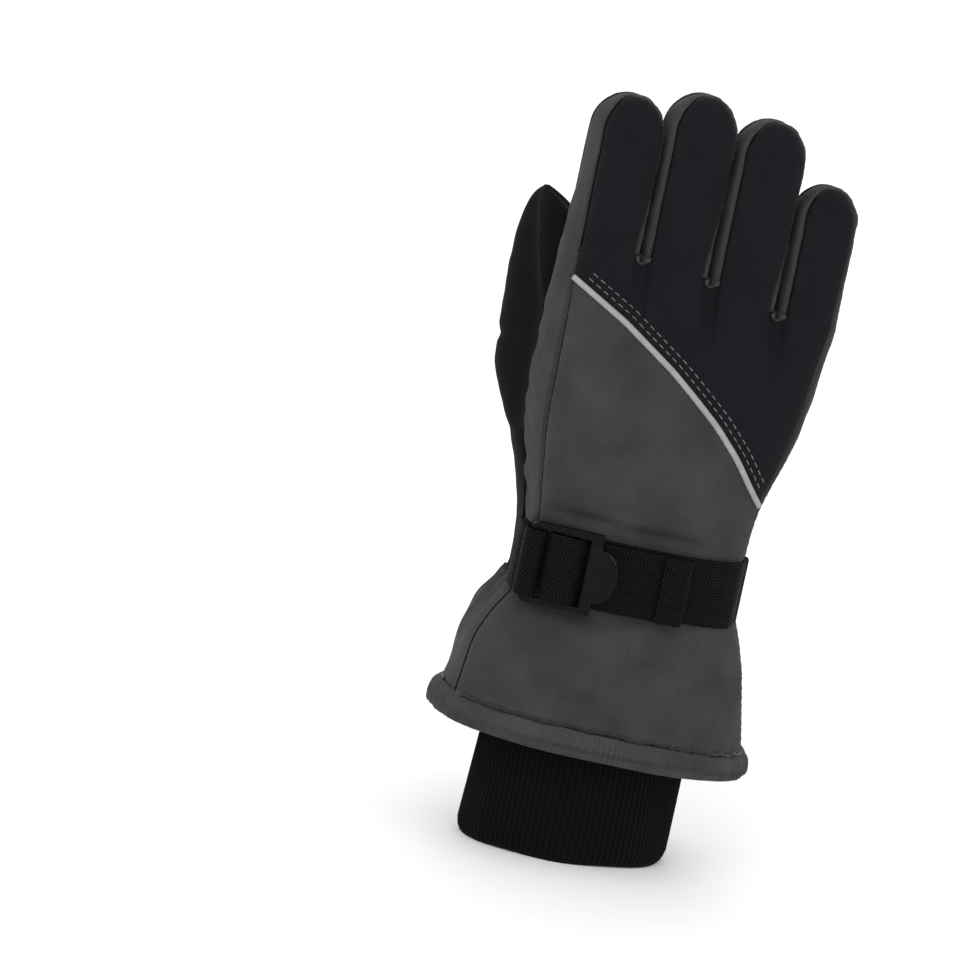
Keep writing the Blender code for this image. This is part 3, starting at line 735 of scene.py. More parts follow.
# Cloths: name, colour, pitch of the weave, worn colour, roughness, sheen, depth of the relief, mottle
finishes = {
    "black": cloth_finish("black_softshell", BLACK, 0.55, grey(0.020), 0.85, 0.03, 0.00005, 0.07),
    "thumb": cloth_finish("thumb_softshell", grey(0.0042), 0.55, grey(0.019), 0.86, 0.03, 0.00005, 0.07),
    "grey": cloth_finish("grey_softshell", SHELL_GREY, 0.62, grey(0.075), 0.88, 0.04, 0.00018, 0.15),
    "gauntlet": cloth_finish("gauntlet_softshell", GAUNTLET_GREY, 0.9, grey(0.08), 0.88, 0.05, 0.0003, 0.16),
    "grip": grip_finish("palm_grip"),
    "reflective": reflective_finish("reflective_tape"),
    "knit": knit_finish("rib_knit"),
    "webbing": webbing_finish("strap_webbing", grey(0.0010)),
    "plastic": plastic_finish("buckle_nylon"),
    "fleece": fluffy_finish("fleece_pile", grey(0.02)),
    "wadding": fluffy_finish("wadding_fibre", grey(0.6), 2.0),
    "rubber": fluffy_finish("covered_elastic", grey(0.02), 0.6),
    "thread": thread_finish("topstitch_thread", grey(0.17)),
    "dark_thread": thread_finish("seam_thread", grey(0.06)),
    "dark_thread_and_seam_shade": thread_finish("dark_thread_and_seam_shade", grey(0.006)),
}


# ---- Back, palm and sides of the hand ----
def hand_columns():
    """Places across the hand at the feet of the fingers, with close ones round each crotch."""
    places = []
    for middle, half, *_ in FINGERS.values():
        places += list(middle + half * np.sin(np.linspace(-1, 1, 19) * math.pi / 2))
    for middle, _ in CROTCHES.values():
        places += list(middle - CROTCH_HALF * np.cos(np.linspace(0, math.pi, 9))[1:-1])
    return np.array(sorted(places))


COLUMNS = hand_columns()


def across_at(z):
    """The same places at another height, spread to the hand's width there."""
    low, high = seam_left(z), seam_right(z)
    return low + (COLUMNS - COLUMNS[0]) / (COLUMNS[-1] - COLUMNS[0]) * (high - low)


def hand_grid(bottom, top, side, rows):
    """Points of the back or the palm between two lines across it."""

    def ends(line):
        z = np.full(len(COLUMNS), 150.0)
        for _ in range(14):
            z = 0.5 * z + 0.5 * line(across_at(z))
        return z

    low, high = ends(bottom), ends(top)
    z = low + (high - low) * rows[:, None]
    x = across_at(z)
    return np.stack([x, side * pillow(x, z, side), z], axis=2)


def make_back():
    lower = hand_grid(hem_line, diagonal, -1, stations(140.0))
    seams = (HEM_DIP, SEAM_DIP, SEAM_DIP, SEAM_DIP)
    piece = panel("back_lower_cloth", lower, finishes["grey"], seams, pucker=0.3)
    attach(piece, "hand", "back_lower_panel", slot="grey_softshell", fill=0.5)
    upper = hand_grid(diagonal, foot, -1, stations(70.0, fine_end=False, step=1.1))
    piece = panel("back_upper_cloth", upper, finishes["black"], (SEAM_DIP, 0.0, SEAM_DIP, SEAM_DIP))
    attach(piece, "hand", "back_upper_panel", slot="black_softshell", fill=0.5)


def side_grid(seam, bulge, outward, heights):
    """Points of the strip down one side of the hand, from the back seam to the palm seam."""
    z = heights[:, None]
    turn = math.pi * np.linspace(0, 1, SIDE_STEPS + 1)[None, :]
    x = seam(z)
    places = np.broadcast_arrays(x + outward * bulge(z) * np.sin(turn) ** 0.8, -reach(x, z) * np.cos(turn), z)
    return np.stack(places, axis=2)


def make_sides():
    """The strips down the sides of the hand. Each tucks in at its top, where a finger's strip starts."""
    thumb_side = ("hand_thumb_side_cloth", "side_strip_thumb", seam_left, bulge_left, -1)
    little_side = ("hand_little_side_cloth", "side_strip_little_finger", seam_right, bulge_right, 1)
    for (name, node, seam, bulge, outward), bottom, top, uneven, bumps, seed in (
        (thumb_side, 97.0, 225.6, 0.5, 10.0, 21),
        (little_side, 100.0, 210.6, 0.35, 12.0, 22),
    ):
        heights = bottom + (top - bottom) * stations(top - bottom, fine_end=False)
        grid = side_grid(seam, bulge, outward, heights)
        grid[:, :, 0] -= outward * 0.3 * smooth((heights - top + 2.2) / 1.2)[:, None]
        fade = np.sin(np.linspace(0, math.pi, SIDE_STEPS + 1)) * smooth((top - 1.6 - heights) / 10)[:, None]
        grid[:, :, 0] += uneven * ripple(grid, bumps, seed) * fade
        piece = panel(name, grid, finishes["grey"], OPEN_ENDS, facing=(0, 0, 160))
        attach(piece, "hand", node, slot="grey_softshell", fill=0.4)


def make_palm():
    """The palm, which dives in under the gauntlet and under the mound of the thumb."""
    grid = hand_grid(lambda x: gather_line(x) - LAP, foot, 1, stations(116.0, fine_end=False))
    x, z = grid[:, :, 0], grid[:, :, 2]
    grid[:, :, 1] -= 2.2 * tucked(x, z)
    grid[:, :, 1] -= 4.5 * smooth((thumb_inner(z) - 2.0 - x) / 3.0) * smooth((162 - z) / 10)
    piece = panel("palm_cloth", grid, finishes["grip"], OPEN_ENDS)
    attach(piece, "hand", "palm_panel", slot="palm_grip", fill=0.4)


# ---- Gauntlet, hem, knit cuff and linings ----
def oval(z, turn, inset=0.0, power=OVAL_POWER):
    """A point of the gauntlet's oval section. Turn 0 is the little finger's side, and a quarter turn the
    palm."""
    middle = (seam_left(z) + seam_right(z)) / 2
    half, bulge = widths(z)
    wide = half + bulge - inset
    deep = np.where(np.sin(turn) > 0, palm_depth(z), back_depth(z)) - inset
    cosine, sine = np.cos(turn), np.sin(turn)
    x = middle + wide * np.sign(cosine) * np.abs(cosine) ** (2 / power)
    y = deep * np.sign(sine) * np.abs(sine) ** (2 / power)
    return np.stack(np.broadcast_arrays(x, y, z), axis=-1)


def palm_turn(z, share):
    """The turn at this share of the way round the palm side of the gauntlet, from seam to seam."""
    start = seam_turn(z)
    return -start + (math.pi + 2 * start) * share


def make_gauntlet():
    """The palm side of the gauntlet, with its pleats under the elastic of the wrist."""
    rows = stations(56.0)
    share = np.linspace(0, 1, 130)
    z_bottom, z_top = np.full(share.shape, 52.0), np.full(share.shape, 104.0)
    for _ in range(8):
        for heights, line in ((z_bottom, hem_line), (z_top, gather_line)):
            heights[:] = line(oval(heights, palm_turn(heights, share))[:, 0])
    z = z_bottom + (z_top - z_bottom) * rows[:, None]
    turn = palm_turn(z, share)
    grid = oval(z, turn)
    normals = grid_normals(grid)
    if np.sum(normals[:, :, 1] * grid[:, :, 1]) < 0:
        normals = -normals
    fade = smooth(share * 9) * smooth((1 - share) * 9)
    below = np.clip(z_top - z, 0, None)
    around = turn * 40.0
    pleats = np.sin(around * 0.62 + 1.6 * np.sin(around * 0.17)) * 0.8 + 0.45 * np.sin(around * 1.35 + 1.0)
    fold = 1.9 * pleats * np.exp(-below / 13.0)
    fold = fold + 0.7 * np.sin(around * 0.3 + z * 0.05) * np.exp(-(((below - 16) / 12) ** 2))
    fold = fold + 0.7 * ripple(grid, 18.0, 31) + 1.2 * smooth(below / 6) * np.exp(-below / 22.0)
    grid = grid + normals * (fold * fade)[:, :, None]
    seams = (HEM_DIP, 1.0, SEAM_DIP, SEAM_DIP)
    piece = panel("gauntlet_palm_cloth", grid, finishes["gauntlet"], seams, pucker=0.35, facing=(0, 0, 80))
    attach(piece, "hand", "gauntlet_palm_panel", slot="grey_softshell", fill=0.5)


def make_hem():
    """The padded roll round the rim of the gauntlet."""
    cols, profile = 260, 18
    turn = np.linspace(0, 2 * math.pi, cols, endpoint=False)
    angle = np.linspace(0, 2 * math.pi, profile, endpoint=False)[:, None]
    cosine, sine = np.cos(angle), np.sin(angle)
    run = turn * 45.0
    plump = 1 + 0.13 * np.sin(run / 9.3 * 2 * math.pi + 2.4 * np.sin(run / 17))
    plump = plump + 0.10 * np.sin(run / 3.7 * 2 * math.pi + 2 * np.sin(run / 11))
    out = 3.3 * plump * np.sign(cosine) * np.abs(cosine) ** 0.8
    rise = HEM_HEIGHT / 2 * (1 + 0.02 * np.sin(run / 5)) * np.sign(sine) * np.abs(sine) ** 0.8
    z = HEM_FOOT + HEM_TILT * oval(46.0, turn)[:, 0] + HEM_HEIGHT / 2 + rise
    surface = oval(z, turn, inset=0.6)
    outward = oval(z, turn, inset=-1.0) - surface
    outward /= np.linalg.norm(outward, axis=2, keepdims=True)
    grid = surface + outward * out[:, :, None]
    index = np.arange(profile * cols).reshape(profile, cols)
    after = np.roll(index, -1, axis=0)
    faces = np.stack([index, np.roll(index, -1, axis=1), np.roll(after, -1, axis=1), after], axis=2)
    along = run_lengths(grid, 0)
    uv = np.stack([np.broadcast_to(run, (profile, cols)), along], axis=2).reshape(-1, 2) * UV_PER_MM
    # Edge values peak along the top of the roll, which the cloth finish makes lighter.
    edge = np.broadcast_to(np.exp(-np.abs(angle - math.pi / 2) / 0.35), (profile, cols)).ravel()
    piece = add_mesh("hem_roll", grid.reshape(-1, 3), faces.reshape(-1, 4), finishes["gauntlet"], uv, edge)
    attach(piece, "hand", "cuff_hem", slot="grey_softshell", fill=0.7)


# Height, half width and half depth
KNIT_SECTIONS = (
    (0, 37.6, 22.6), (1.5, 38.6, 23.6), (4, 39.2, 24.2),
    (45, 38.5, 23.5), (90, 36.5, 20.5), (104, 35, 18),
)
KNIT_RIBS, STEPS_PER_RIB, RIB_DEPTH = 104, 6, 0.30


def make_knit():
    """The ribbed cuff, and its ribs as real ridges."""
    rim, shown, hidden = np.linspace(0, 4, 6), np.linspace(4, 48, 26), np.linspace(48, 104, 9)
    heights = np.concatenate([rim[:-1], shown[:-1], hidden])
    turn = np.linspace(0, 2 * math.pi, KNIT_RIBS * STEPS_PER_RIB, endpoint=False)[None, :]
    z = heights[:, None]
    places, half_widths, half_depths = zip(*KNIT_SECTIONS)
    wander = 0.10 * np.sin(z / 11.0 + 3 * np.sin(turn)) / KNIT_RIBS * 6
    ridge = RIB_DEPTH * (np.cos(KNIT_RIBS * (turn + wander)) - 1) / 2 * smooth((z + 0.6) / 3)
    uneven = 0.5 * np.sin(3 * turn + z * 0.03) + 0.3 * np.sin(7 * turn + 1 + z * 0.05)
    x = KNIT_CENTRE_X + (np.interp(z, places, half_widths) + ridge * 1.5 + uneven) * np.cos(turn)
    y = (np.interp(z, places, half_depths) + ridge * 1.5 + uneven) * np.sin(turn)
    outer = np.stack(np.broadcast_arrays(x, y, z), axis=2)
    outer[:, :, 2] += (0.35 * np.sin(5 * turn + 1) + 0.25 * ridge) * smooth((30 - z) / 30) + 0.35
    inner = outer.copy()
    centre = np.array((KNIT_CENTRE_X, 0.0))
    inner[:, :, :2] = centre + (outer[:, :, :2] - centre) * 0.93
    inner[0, :, 2] += 0.2
    uv = np.stack([np.broadcast_to(turn * 31.0, outer.shape[:2]), run_lengths(outer, 0)], axis=2)
    # Edge values are 1 in the grooves between the ribs, where the knit finish paints shade.
    edge = np.broadcast_to(smooth(-ridge / RIB_DEPTH), outer.shape[:2])
    piece = slab("knit_cuff_ribs", outer, inner, finishes["knit"], ring=True, uv=uv, edge=edge)
    attach(piece, "hand", "knit_cuff", slot="rib_knit", fill=0.3)


def make_layers():
    """The linings, the wadding and the elastic inside the shell, on a rounder oval."""
    turn = np.linspace(0, 2 * math.pi, 72, endpoint=False)[None, :]
    for name, node, finish, low, high, inset, thick in (
        ("gauntlet_fleece", "gauntlet_lining", "fleece", 47.0, 99.0, 3.6, 0.8),
        ("hand_wadding", "hand_insulation", "wadding", 108.0, 196.0, 5.0, 1.6),
        ("hand_fleece", "hand_lining", "fleece", 108.0, 194.0, 7.2, 1.0),
        ("wrist_elastic_band", "wrist_elastic", "rubber", 97.0, 101.0, 5.0, 1.0),
    ):
        z = np.linspace(low, high, 24)[:, None]
        outer, inner = (oval(z, turn, inset + more, 2.2) for more in (0.0, thick))
        if name == "gauntlet_fleece":
            outer[:, :, 2] += HEM_TILT * outer[:, :, 0] * smooth((high - z) / 50)
        inner[:, :, 2] = outer[:, :, 2]
        piece = slab(name, outer, inner, finishes[finish], ring=True)
        attach(piece, "hand", node, slot=finish, fill=0.3)


# ---- Fingers ----
def finger_start(name):
    """Height of the foot of a finger's middle."""
    return float(np.interp(FINGERS[name][0], *zip(*FOOT_LINE)))


def tip_reach(name, z):
    """Distance of a finger's seams from its middle plane, which lessens over the tip."""
    _, _, straight, tip, _ = FINGERS[name]
    return FINGER_REACH - 2.2 * smooth((z - straight + 8) / (8 + tip))


def finger_grid(name, side):
    """Points of one side of a finger, from its foot over its round tip."""
    middle, half, straight, tip, deep = FINGERS[name]
    columns = COLUMNS[np.abs(COLUMNS - middle) < half + 1e-6]
    share = (columns - middle) / half
    low = foot(columns)
    rows = stations(straight - low.mean(), fine_start=False, fine_end=False, step=1.25)
    v = np.sin(np.linspace(0, 1, 15)[1:] * math.pi / 2)[:, None]
    disc_x, disc_z = share * np.sqrt(1 - v**2 / 2), v * np.sqrt(1 - share**2 / 2)
    z = low + (straight - low) * rows[:, None]
    x = np.concatenate([np.broadcast_to(columns, z.shape), middle + half * disc_x])
    away = np.concatenate([np.broadcast_to(np.abs(share), z.shape), np.sqrt(disc_x**2 + disc_z**2)])
    z = np.concatenate([z, straight + tip * disc_z])
    edge = tip_reach(name, z)
    if side < 0:
        tip_share = np.concatenate([np.zeros(len(rows)), v[:, 0]])[:, None]
        spread = smooth((z - low.min() - 2) / 26.0)
        right = smooth(share * 2.0) * (0.3 if name == "little" else 1.0) * spread
        x = x + (x - middle) * (BACK_REACH * right + 0.03 * spread)
        z = z + BACK_TIP * tip_share**3 * np.sqrt(1 - 0.6 * share**2)
        edge = edge - np.maximum(2.6 * right, 3.6 * tip_share**2 * smooth(share + 1.3))
    depth = deep - 1.4 * smooth((z - straight + 14) / (14 + tip))
    above_knuckle = z - straight + KNUCKLE_DROP
    uneven = padding(x, z, side)
    if side > 0:
        uneven = uneven - 0.7 * np.exp(-((above_knuckle / 2.4) ** 2))
        uneven = uneven - 0.5 * np.exp(-(((z - straight + 2) / 2.2) ** 2))
    else:
        uneven = uneven - 0.25 * np.exp(-((above_knuckle / 3.5) ** 2))
    bow = crown(away)
    return np.stack([x, side * (edge + (depth - edge) * bow + bow * uneven), z], axis=2)


def finger_strip(name):
    """Points of the strip round a finger, up one side, over the tip and down the other."""
    middle, _, straight, _, _ = FINGERS[name]

    def border(grid):
        return np.concatenate([grid[:, 0], grid[-1, 1:-1], grid[::-1, -1]])

    back, path = border(finger_grid(name, -1)), border(finger_grid(name, 1))
    run = np.gradient(path, axis=0)
    out = np.stack([-run[:, 2], run[:, 0]], axis=1)
    out /= np.linalg.norm(out, axis=1, keepdims=True)
    out[0], out[-1] = (-1.0, 0.0), (1.0, 0.0)
    on_left = path[:, 0] < middle
    bulge = np.full(len(path), FINGER_BULGE)
    if name == "index":
        bulge = np.where(on_left & (path[:, 2] < straight), bulge_left(path[:, 2]), bulge)
    if name == "little":
        bulge = np.where(~on_left & (path[:, 2] < straight), bulge_right(path[:, 2]), bulge)
    bulge = bulge - np.exp(-(((path[:, 2] - straight + KNUCKLE_DROP) / 4) ** 2)) * 0.25
    apart = np.linalg.norm((back - path)[:, (0, 2)], axis=1)
    share = np.linspace(0, 1, SIDE_STEPS + 1)[None, :]
    lift = (bulge - 0.5 * apart)[:, None] * np.sin(math.pi * share) ** 0.8
    x = back[:, :1] + (path - back)[:, :1] * share + out[:, :1] * lift
    z = back[:, 2:] + (path - back)[:, 2:] * share + out[:, 1:] * lift
    y = back[:, 1:2] + (path - back)[:, 1:2] * (1 - np.cos(math.pi * share)) / 2
    grid = np.stack([x, y, z], axis=2)
    fade = np.sin(math.pi * share) * smooth((path[:, 2:] - finger_start(name)) / 8)
    shake = 0.22 * ripple(grid, 7.0, 41) * fade
    return grid + np.stack([out[:, :1] * shake, 0 * shake, out[:, 1:] * shake], axis=2)


def finger_tube(name, inset, thick):
    """The lining inside a finger, as two grids."""
    middle, half, straight, tip, deep = FINGERS[name]
    turn = np.linspace(0, 2 * math.pi, 28, endpoint=False)[None, :]
    over_tip = np.linspace(0, 1.5, 9)[1:]
    shaft = np.linspace(finger_start(name) - 6, straight, 14)
    narrow = np.concatenate([np.ones(len(shaft)), np.cos(over_tip)])[:, None]
    grids = []
    for more in (inset, inset + thick):
        rise = np.concatenate([shaft, straight + (tip + FINGER_BULGE - more) * np.sin(over_tip)])[:, None]
        x = middle + (half + FINGER_BULGE - more) * narrow * np.cos(turn)
        y = (deep - more) * narrow * np.sin(turn)
        grids.append(np.stack(np.broadcast_arrays(x, y, rise), axis=2))
    return grids


def make_fingers():
    for name, (middle, *_) in FINGERS.items():
        low = finger_start(name)
        start, end = (middle, 0.0, low + 0.5), (middle, 0.0, low + 27.0)
        closed_tip = (0, SEAM_DIP, SEAM_DIP, SEAM_DIP)
        back = panel(f"{name}_back_cloth", finger_grid(name, -1), finishes["black"], closed_tip)
        bend_with(back, name, start, end, f"{name}_back_panel", slot="black_softshell", fill=0.5)
        palm = panel(f"{name}_palm_cloth", finger_grid(name, 1), finishes["grip"], closed_tip)
        bend_with(palm, name, start, end, f"{name}_palm_panel", slot="palm_grip", fill=0.5)
        strip = finger_strip(name)
        inside = (middle, 0, 240)
        strip = panel(f"{name}_side_cloth", strip, finishes["grey"], OPEN_ENDS, facing=inside, pucker=0.12)
        bend_with(strip, name, start, end, f"{name}_side_strip", slot="grey_softshell", fill=0.5)
        outer, inner = finger_tube(name, 3.4, 1.0)
        lining = slab(f"{name}_fleece", outer, inner, finishes["fleece"], ring=True)
        bend_with(lining, name, start, end, f"{name}_lining", slot="fleece", fill=0.3)


def make_crotches():
    """The short webs that close the gaps between the fingers."""
    for (left, right), (middle, top) in CROTCHES.items():
        share = np.linspace(0, 1, SIDE_STEPS + 1)[:, None]
        turn = np.linspace(0, math.pi, 21)[None, :]
        gap = CROTCH_HALF - FINGER_BULGE * np.sin(math.pi * share) ** 0.8
        x = middle - gap * np.cos(turn)
        z = top - (CROTCH_HALF + 1.4 * np.sin(math.pi * share)) * np.sin(turn) ** 0.7
        y = -FINGER_REACH * np.cos(math.pi * share) + 0 * x
        grid = np.stack([x, y, z], axis=2)
        name, seams, above = f"crotch_{left}_{right}", (0.5, 0.5, 0, 0), (middle, 0, 260)
        piece = panel(name, grid, finishes["grey"], seams, pucker=0.0, facing=above, thick=0.7)
        attach(piece, "hand", f"fourchette_{left}_{right}", slot="grey_softshell", fill=0.4)


# ---- Thumb ----
THUMB_SPLIT = 150.0  # height where the mound on the palm ends and the free thumb's panels start
THUMB_TOP = 235.0
THUMB_LEAN = math.radians(18)
THUMB_POWER = 0.92
THUMB_CORNER = 0.68  # share of the front panel that lies on the palm, before it turns the corner
THUMB_STAND = 0.9  # how far the mound stands on the palm under it
# Tables of (height, value): the middle of the thumb's section, its half width and its half depth
thumb_x = eased(
    (
        (104, -15), (125, -17.5), (147, -24), (169, -31.5), (190, -34.5),
        (211, -38.5), (222, -41), (229, -43.5), (235, -46.5), (240, -48),
    ),
    4.0,
)
thumb_y = eased(((104, 10), (147, 17), (169, 22), (190, 25.8), (211, 29), (222, 31), (240, 34.4)), 4.0)
thumb_wide = eased(
    (
        (104, 22), (147, 23.5), (169, 22.8), (190, 20.3), (205, 17.6), (216, 14.6),
        (224, 11.2), (229, 8.0), (232, 5.2), (234, 2.6), (236, -1.4), (240, -9),
    ),
    2.0,
)
thumb_deep = eased(
    (
        (104, 12), (147, 13), (169, 12), (190, 11.2), (211, 9.6), (222, 7.8),
        (229, 5.6), (232, 3.8), (234, 2.0), (236, -1.2), (240, -7),
    ),
    2.0,
)
# The turn of its outer seam, in degrees, and the place of its inner seam across the palm
thumb_ridge = eased(((104, 215), (147, 232), (170, 252), (195, 260), (216, 250), (235, 242)), 6.0)
thumb_inner = eased(((104, 7.6), (112, 7), (130, 4.2), (148, 0), (169, -8), (240, -8)), 6.0)


def freed(z):
    """0 where the thumb is part of the palm and 1 where it stands free."""
    return smooth((z - 106.0) / 64.0)[:, :, None]


def thumb_oval(z, angle):
    """A point of the free thumb's section. Angle 0 is its inner edge and a quarter turn faces the palm."""
    wide, deep = np.clip(thumb_wide(z), 0.12, None), np.clip(thumb_deep(z), 0.12, None)
    cosine, sine = np.cos(angle), np.sin(angle)
    u = wide * np.sign(cosine) * np.abs(cosine) ** THUMB_POWER
    v = deep * np.sign(sine) * np.abs(sine) ** THUMB_POWER
    x = thumb_x(z) + u * math.cos(THUMB_LEAN) + v * math.sin(THUMB_LEAN)
    y = thumb_y(z) - u * math.sin(THUMB_LEAN) + v * math.cos(THUMB_LEAN)
    return np.stack(np.broadcast_arrays(x, y, z), axis=-1)


def thumb_front(heights, count=44):
    """The main thumb panel: from its inner seam over the mound and round the outside to the ridge seam."""
    z = heights[:, None]
    share = np.linspace(0.0, 1.0, count)[None, :]
    on_side = share >= THUMB_CORNER
    palm_share = np.clip(share / THUMB_CORNER, 0, 1)
    side_share = np.clip((share - THUMB_CORNER) / (1 - THUMB_CORNER), 0, 1)
    free = thumb_oval(z, np.radians(palm_share * 150 + side_share * (thumb_ridge(z) - 150)))
    inner, left = thumb_inner(z), seam_left(z)
    x_palm = inner + (left - inner) * np.sin(palm_share * math.pi / 2) ** 0.9
    turn = math.pi * (1 - 0.52 * side_share)
    x = np.where(on_side, left - bulge_left(z) * np.sin(turn) ** 0.8 - THUMB_STAND * np.sin(turn), x_palm)
    behind = THUMB_STAND * np.maximum(0, -np.cos(turn)) - reach(left, z) * np.cos(turn)
    y = np.where(on_side, behind, pillow(x_palm, z, 1) + THUMB_STAND)
    shell = np.stack(np.broadcast_arrays(x, y, z), axis=2)
    return shell + (free - shell) * freed(z)


def thumb_back(heights, first=0.0, last=1.0, count=34):
    """The rest of the thumb's section, from the ridge seam back to the inner seam. Lower down it lies inside
    the hand."""
    z = heights[:, None]
    share = np.linspace(first, last, count)[None, :]
    ridge = np.radians(thumb_ridge(z))
    free = thumb_oval(z, ridge + (2 * math.pi - ridge) * share)
    front = thumb_front(heights, count=3)

    def chord(start, end):
        return start + (end - start) * share[:, :, None]

    free_chord = chord(thumb_oval(z, ridge), thumb_oval(z, 2 * math.pi + 0 * ridge))
    return chord(front[:, -1:], front[:, :1]) + (free - free_chord) * freed(z)


def thumb_swell(grid, seed=51):
    """Soft folds of the thumb's cloth, with the deep ones across its root."""
    x, z = grid[:, :, 0], grid[:, :, 2]
    normals = grid_normals(grid)
    middle = np.stack([thumb_x(z), thumb_y(z), z], axis=2)
    if np.sum(normals * (grid - middle)) < 0:
        normals = -normals
    fold = 0.4 * ripple(grid, 24.0, seed) + 0.12 * ripple(grid, 8.0, seed + 1)
    for depth, height, slope, about, width, side in (
        (1.1, 178, -0.12, -45, 2.2, -30),
        (0.7, 150, 0.4, -40, 3.0, -34),
    ):
        off = z - height - slope * (x - about)
        fold = fold - depth * np.exp(-((off / width) ** 2)) * smooth((side - x) / 12)
    quiet = smooth((THUMB_TOP - z) / 16) * smooth((z - 104) / 6)
    pleat = np.sin(x * 0.9 + 1.2 * np.sin(x * 0.23)) * np.exp(-np.clip(z - 104, 0, None) / 7.0)
    return grid + normals * (fold * quiet + 0.7 * pleat)[:, :, None]


def with_folds(grid, seed=51):
    """The grid with its folds. Its first and last columns stay where they were, so that seams still meet."""
    share = np.linspace(0, 1, grid.shape[1])[None, :, None]
    return grid + (thumb_swell(grid, seed) - grid) * smooth(share * 7) * smooth((1 - share) * 7)


def make_mound():
    """The thumb's root, a closed tube that stands on the palm and dives in under the gauntlet."""
    heights = np.linspace(102.5, THUMB_SPLIT, 40)
    ring = np.concatenate([with_folds(thumb_front(heights)), thumb_back(heights)[:, 1:-1]], axis=1)
    drop = gather_line(ring[:, :, 0]) - LAP - heights[0]
    ring[:, :, 2] += drop * smooth((THUMB_SPLIT - ring[:, :, 2]) / (THUMB_SPLIT - heights[0]))
    tuck = tucked(ring[:, :, 0], ring[:, :, 2])[:, :, None]
    ring[:, :, :2] += (np.array((-16.0, 8.0)) - ring[:, :, :2]) * 0.14 * tuck
    inside = (-20, 12, 125)
    plain = (0, 0, 0, 0)
    piece = panel("thumb_mound_cloth", ring, finishes["thumb"], plain, ring=True, pucker=0.0, facing=inside)
    attach(piece, "hand", "thumb_gusset", slot="black_softshell", fill=0.5)


def make_thumb():
    """The free thumb: its front panel, its back panel, the narrow strip inside, and its lining."""
    start, end = (-24.0, 20.0, THUMB_SPLIT + 1), (-32.0, 26.0, THUMB_SPLIT + 29)
    heights = THUMB_SPLIT + (THUMB_TOP - THUMB_SPLIT) * np.sin(np.linspace(0, 1, 72) * math.pi / 2)
    strip_from = 0.8
    front = with_folds(thumb_front(heights))
    back = with_folds(thumb_back(heights, 0.0, strip_from), 61)
    strip = thumb_back(heights, strip_from, 1.0, 10)
    for name, node, grid, seams, pucker, fill in (
        ("thumb_palm_cloth", "thumb_palm_panel", front, (0, 0, -0.45, -0.55), 0.05, 0.5),
        ("thumb_back_cloth", "thumb_back_panel", back, (0, 0, -0.55, 0.5), 0.05, 0.5),
        ("thumb_inner_strip", "thumb_side_strip", strip, (0, 0, 0.5, -0.45), 0.0, 0.4),
    ):
        piece = panel(name, grid, finishes["thumb"], seams, pucker=pucker, facing=(-38, 26, 190))
        bend_with(piece, "thumb", start, end, node, slot="black_softshell", fill=fill)
    turn = np.linspace(0, 2 * math.pi, 28, endpoint=False)[None, :]
    z = np.linspace(168, 222, 16)[:, None]
    centre = np.stack(np.broadcast_arrays(thumb_x(z), thumb_y(z), z), axis=2)
    grids = []
    for inset in (3.4, 4.4):
        wide, deep = (np.clip(size(z) - inset, 0.5, None) / size(z) for size in (thumb_wide, thumb_deep))
        grids.append(centre + (thumb_oval(z, turn) - centre) * np.minimum(wide, deep)[:, :, None])
    lining = slab("thumb_fleece", *grids, finishes["fleece"], ring=True)
    bend_with(lining, "thumb", start, end, "thumb_lining", slot="fleece", fill=0.3)


def make_saddle():
    """The ribbed patch between the thumb and the index finger."""
    heights = np.linspace(137.0, 181.0, 60)
    outer_edge = ((137, 4.5), (145, 7.4), (153, 8.6), (163.5, 7.6), (174, 3.4), (180, -2.6), (182, -5))
    outer_x = eased(outer_edge, 3.0)
    inner_x = eased(((137, -1), (150, -4), (165, -9), (181, -14)), 3.0)
    share = np.linspace(0, 1, 26)[None, :]
    z = heights[:, None]
    x = outer_x(z) + (inner_x(z) - outer_x(z)) * share
    rib = 0.35 * np.cos((x - outer_x(z)) * 2 * math.pi / 2.3) * smooth(share * 8)
    rim = 1.0 * np.exp(-(((share * 14.0 - 1.2) / 1.0) ** 2))
    y = pillow(x, z, 1) + 0.9 + rib + rim
    grid = np.stack(np.broadcast_arrays(x, y, z), axis=2)
    piece = panel("saddle_patch_cloth", grid, finishes["thumb"], (0.8, 0.8, 1.0, 0.5), pucker=0.0)
    attach(piece, "hand", "palm_saddle_patch", slot="black_softshell", fill=0.4)


# ---- Piping and stitching ----
def path_lengths(path):
    """How far along a path each of its points is."""
    return np.concatenate([[0], np.cumsum(np.linalg.norm(np.diff(path, axis=0), axis=1))])


def tube(name, path, normals, finish, width, height, sides=10):
    """A rounded cord along a path in millimetres, flattened to this height along the normals."""
    path, normals = np.asarray(path, float), np.asarray(normals, float)
    run = np.gradient(path, axis=0)
    run /= np.linalg.norm(run, axis=1, keepdims=True)
    side = np.cross(run, normals)
    side /= np.linalg.norm(side, axis=1, keepdims=True)
    up = np.cross(side, run)
    turn = np.linspace(0, 2 * math.pi, sides, endpoint=False)
    across_it = side[:, None] * (width / 2 * np.cos(turn))[None, :, None]
    rings = path[:, None] + across_it + up[:, None] * (height / 2 * np.sin(turn))[None, :, None]
    count = len(path)
    faces = [tuple(f) for f in quads(count, sides, ring=True)]
    faces += [tuple(range(sides - 1, -1, -1)), tuple((count - 1) * sides + k for k in range(sides))]
    uv = np.stack(np.broadcast_arrays(path_lengths(path)[:, None], turn * width / 2), axis=2)
    return add_mesh(name, rings.reshape(-1, 3), faces, finish, uv.reshape(-1, 2) * UV_PER_MM)


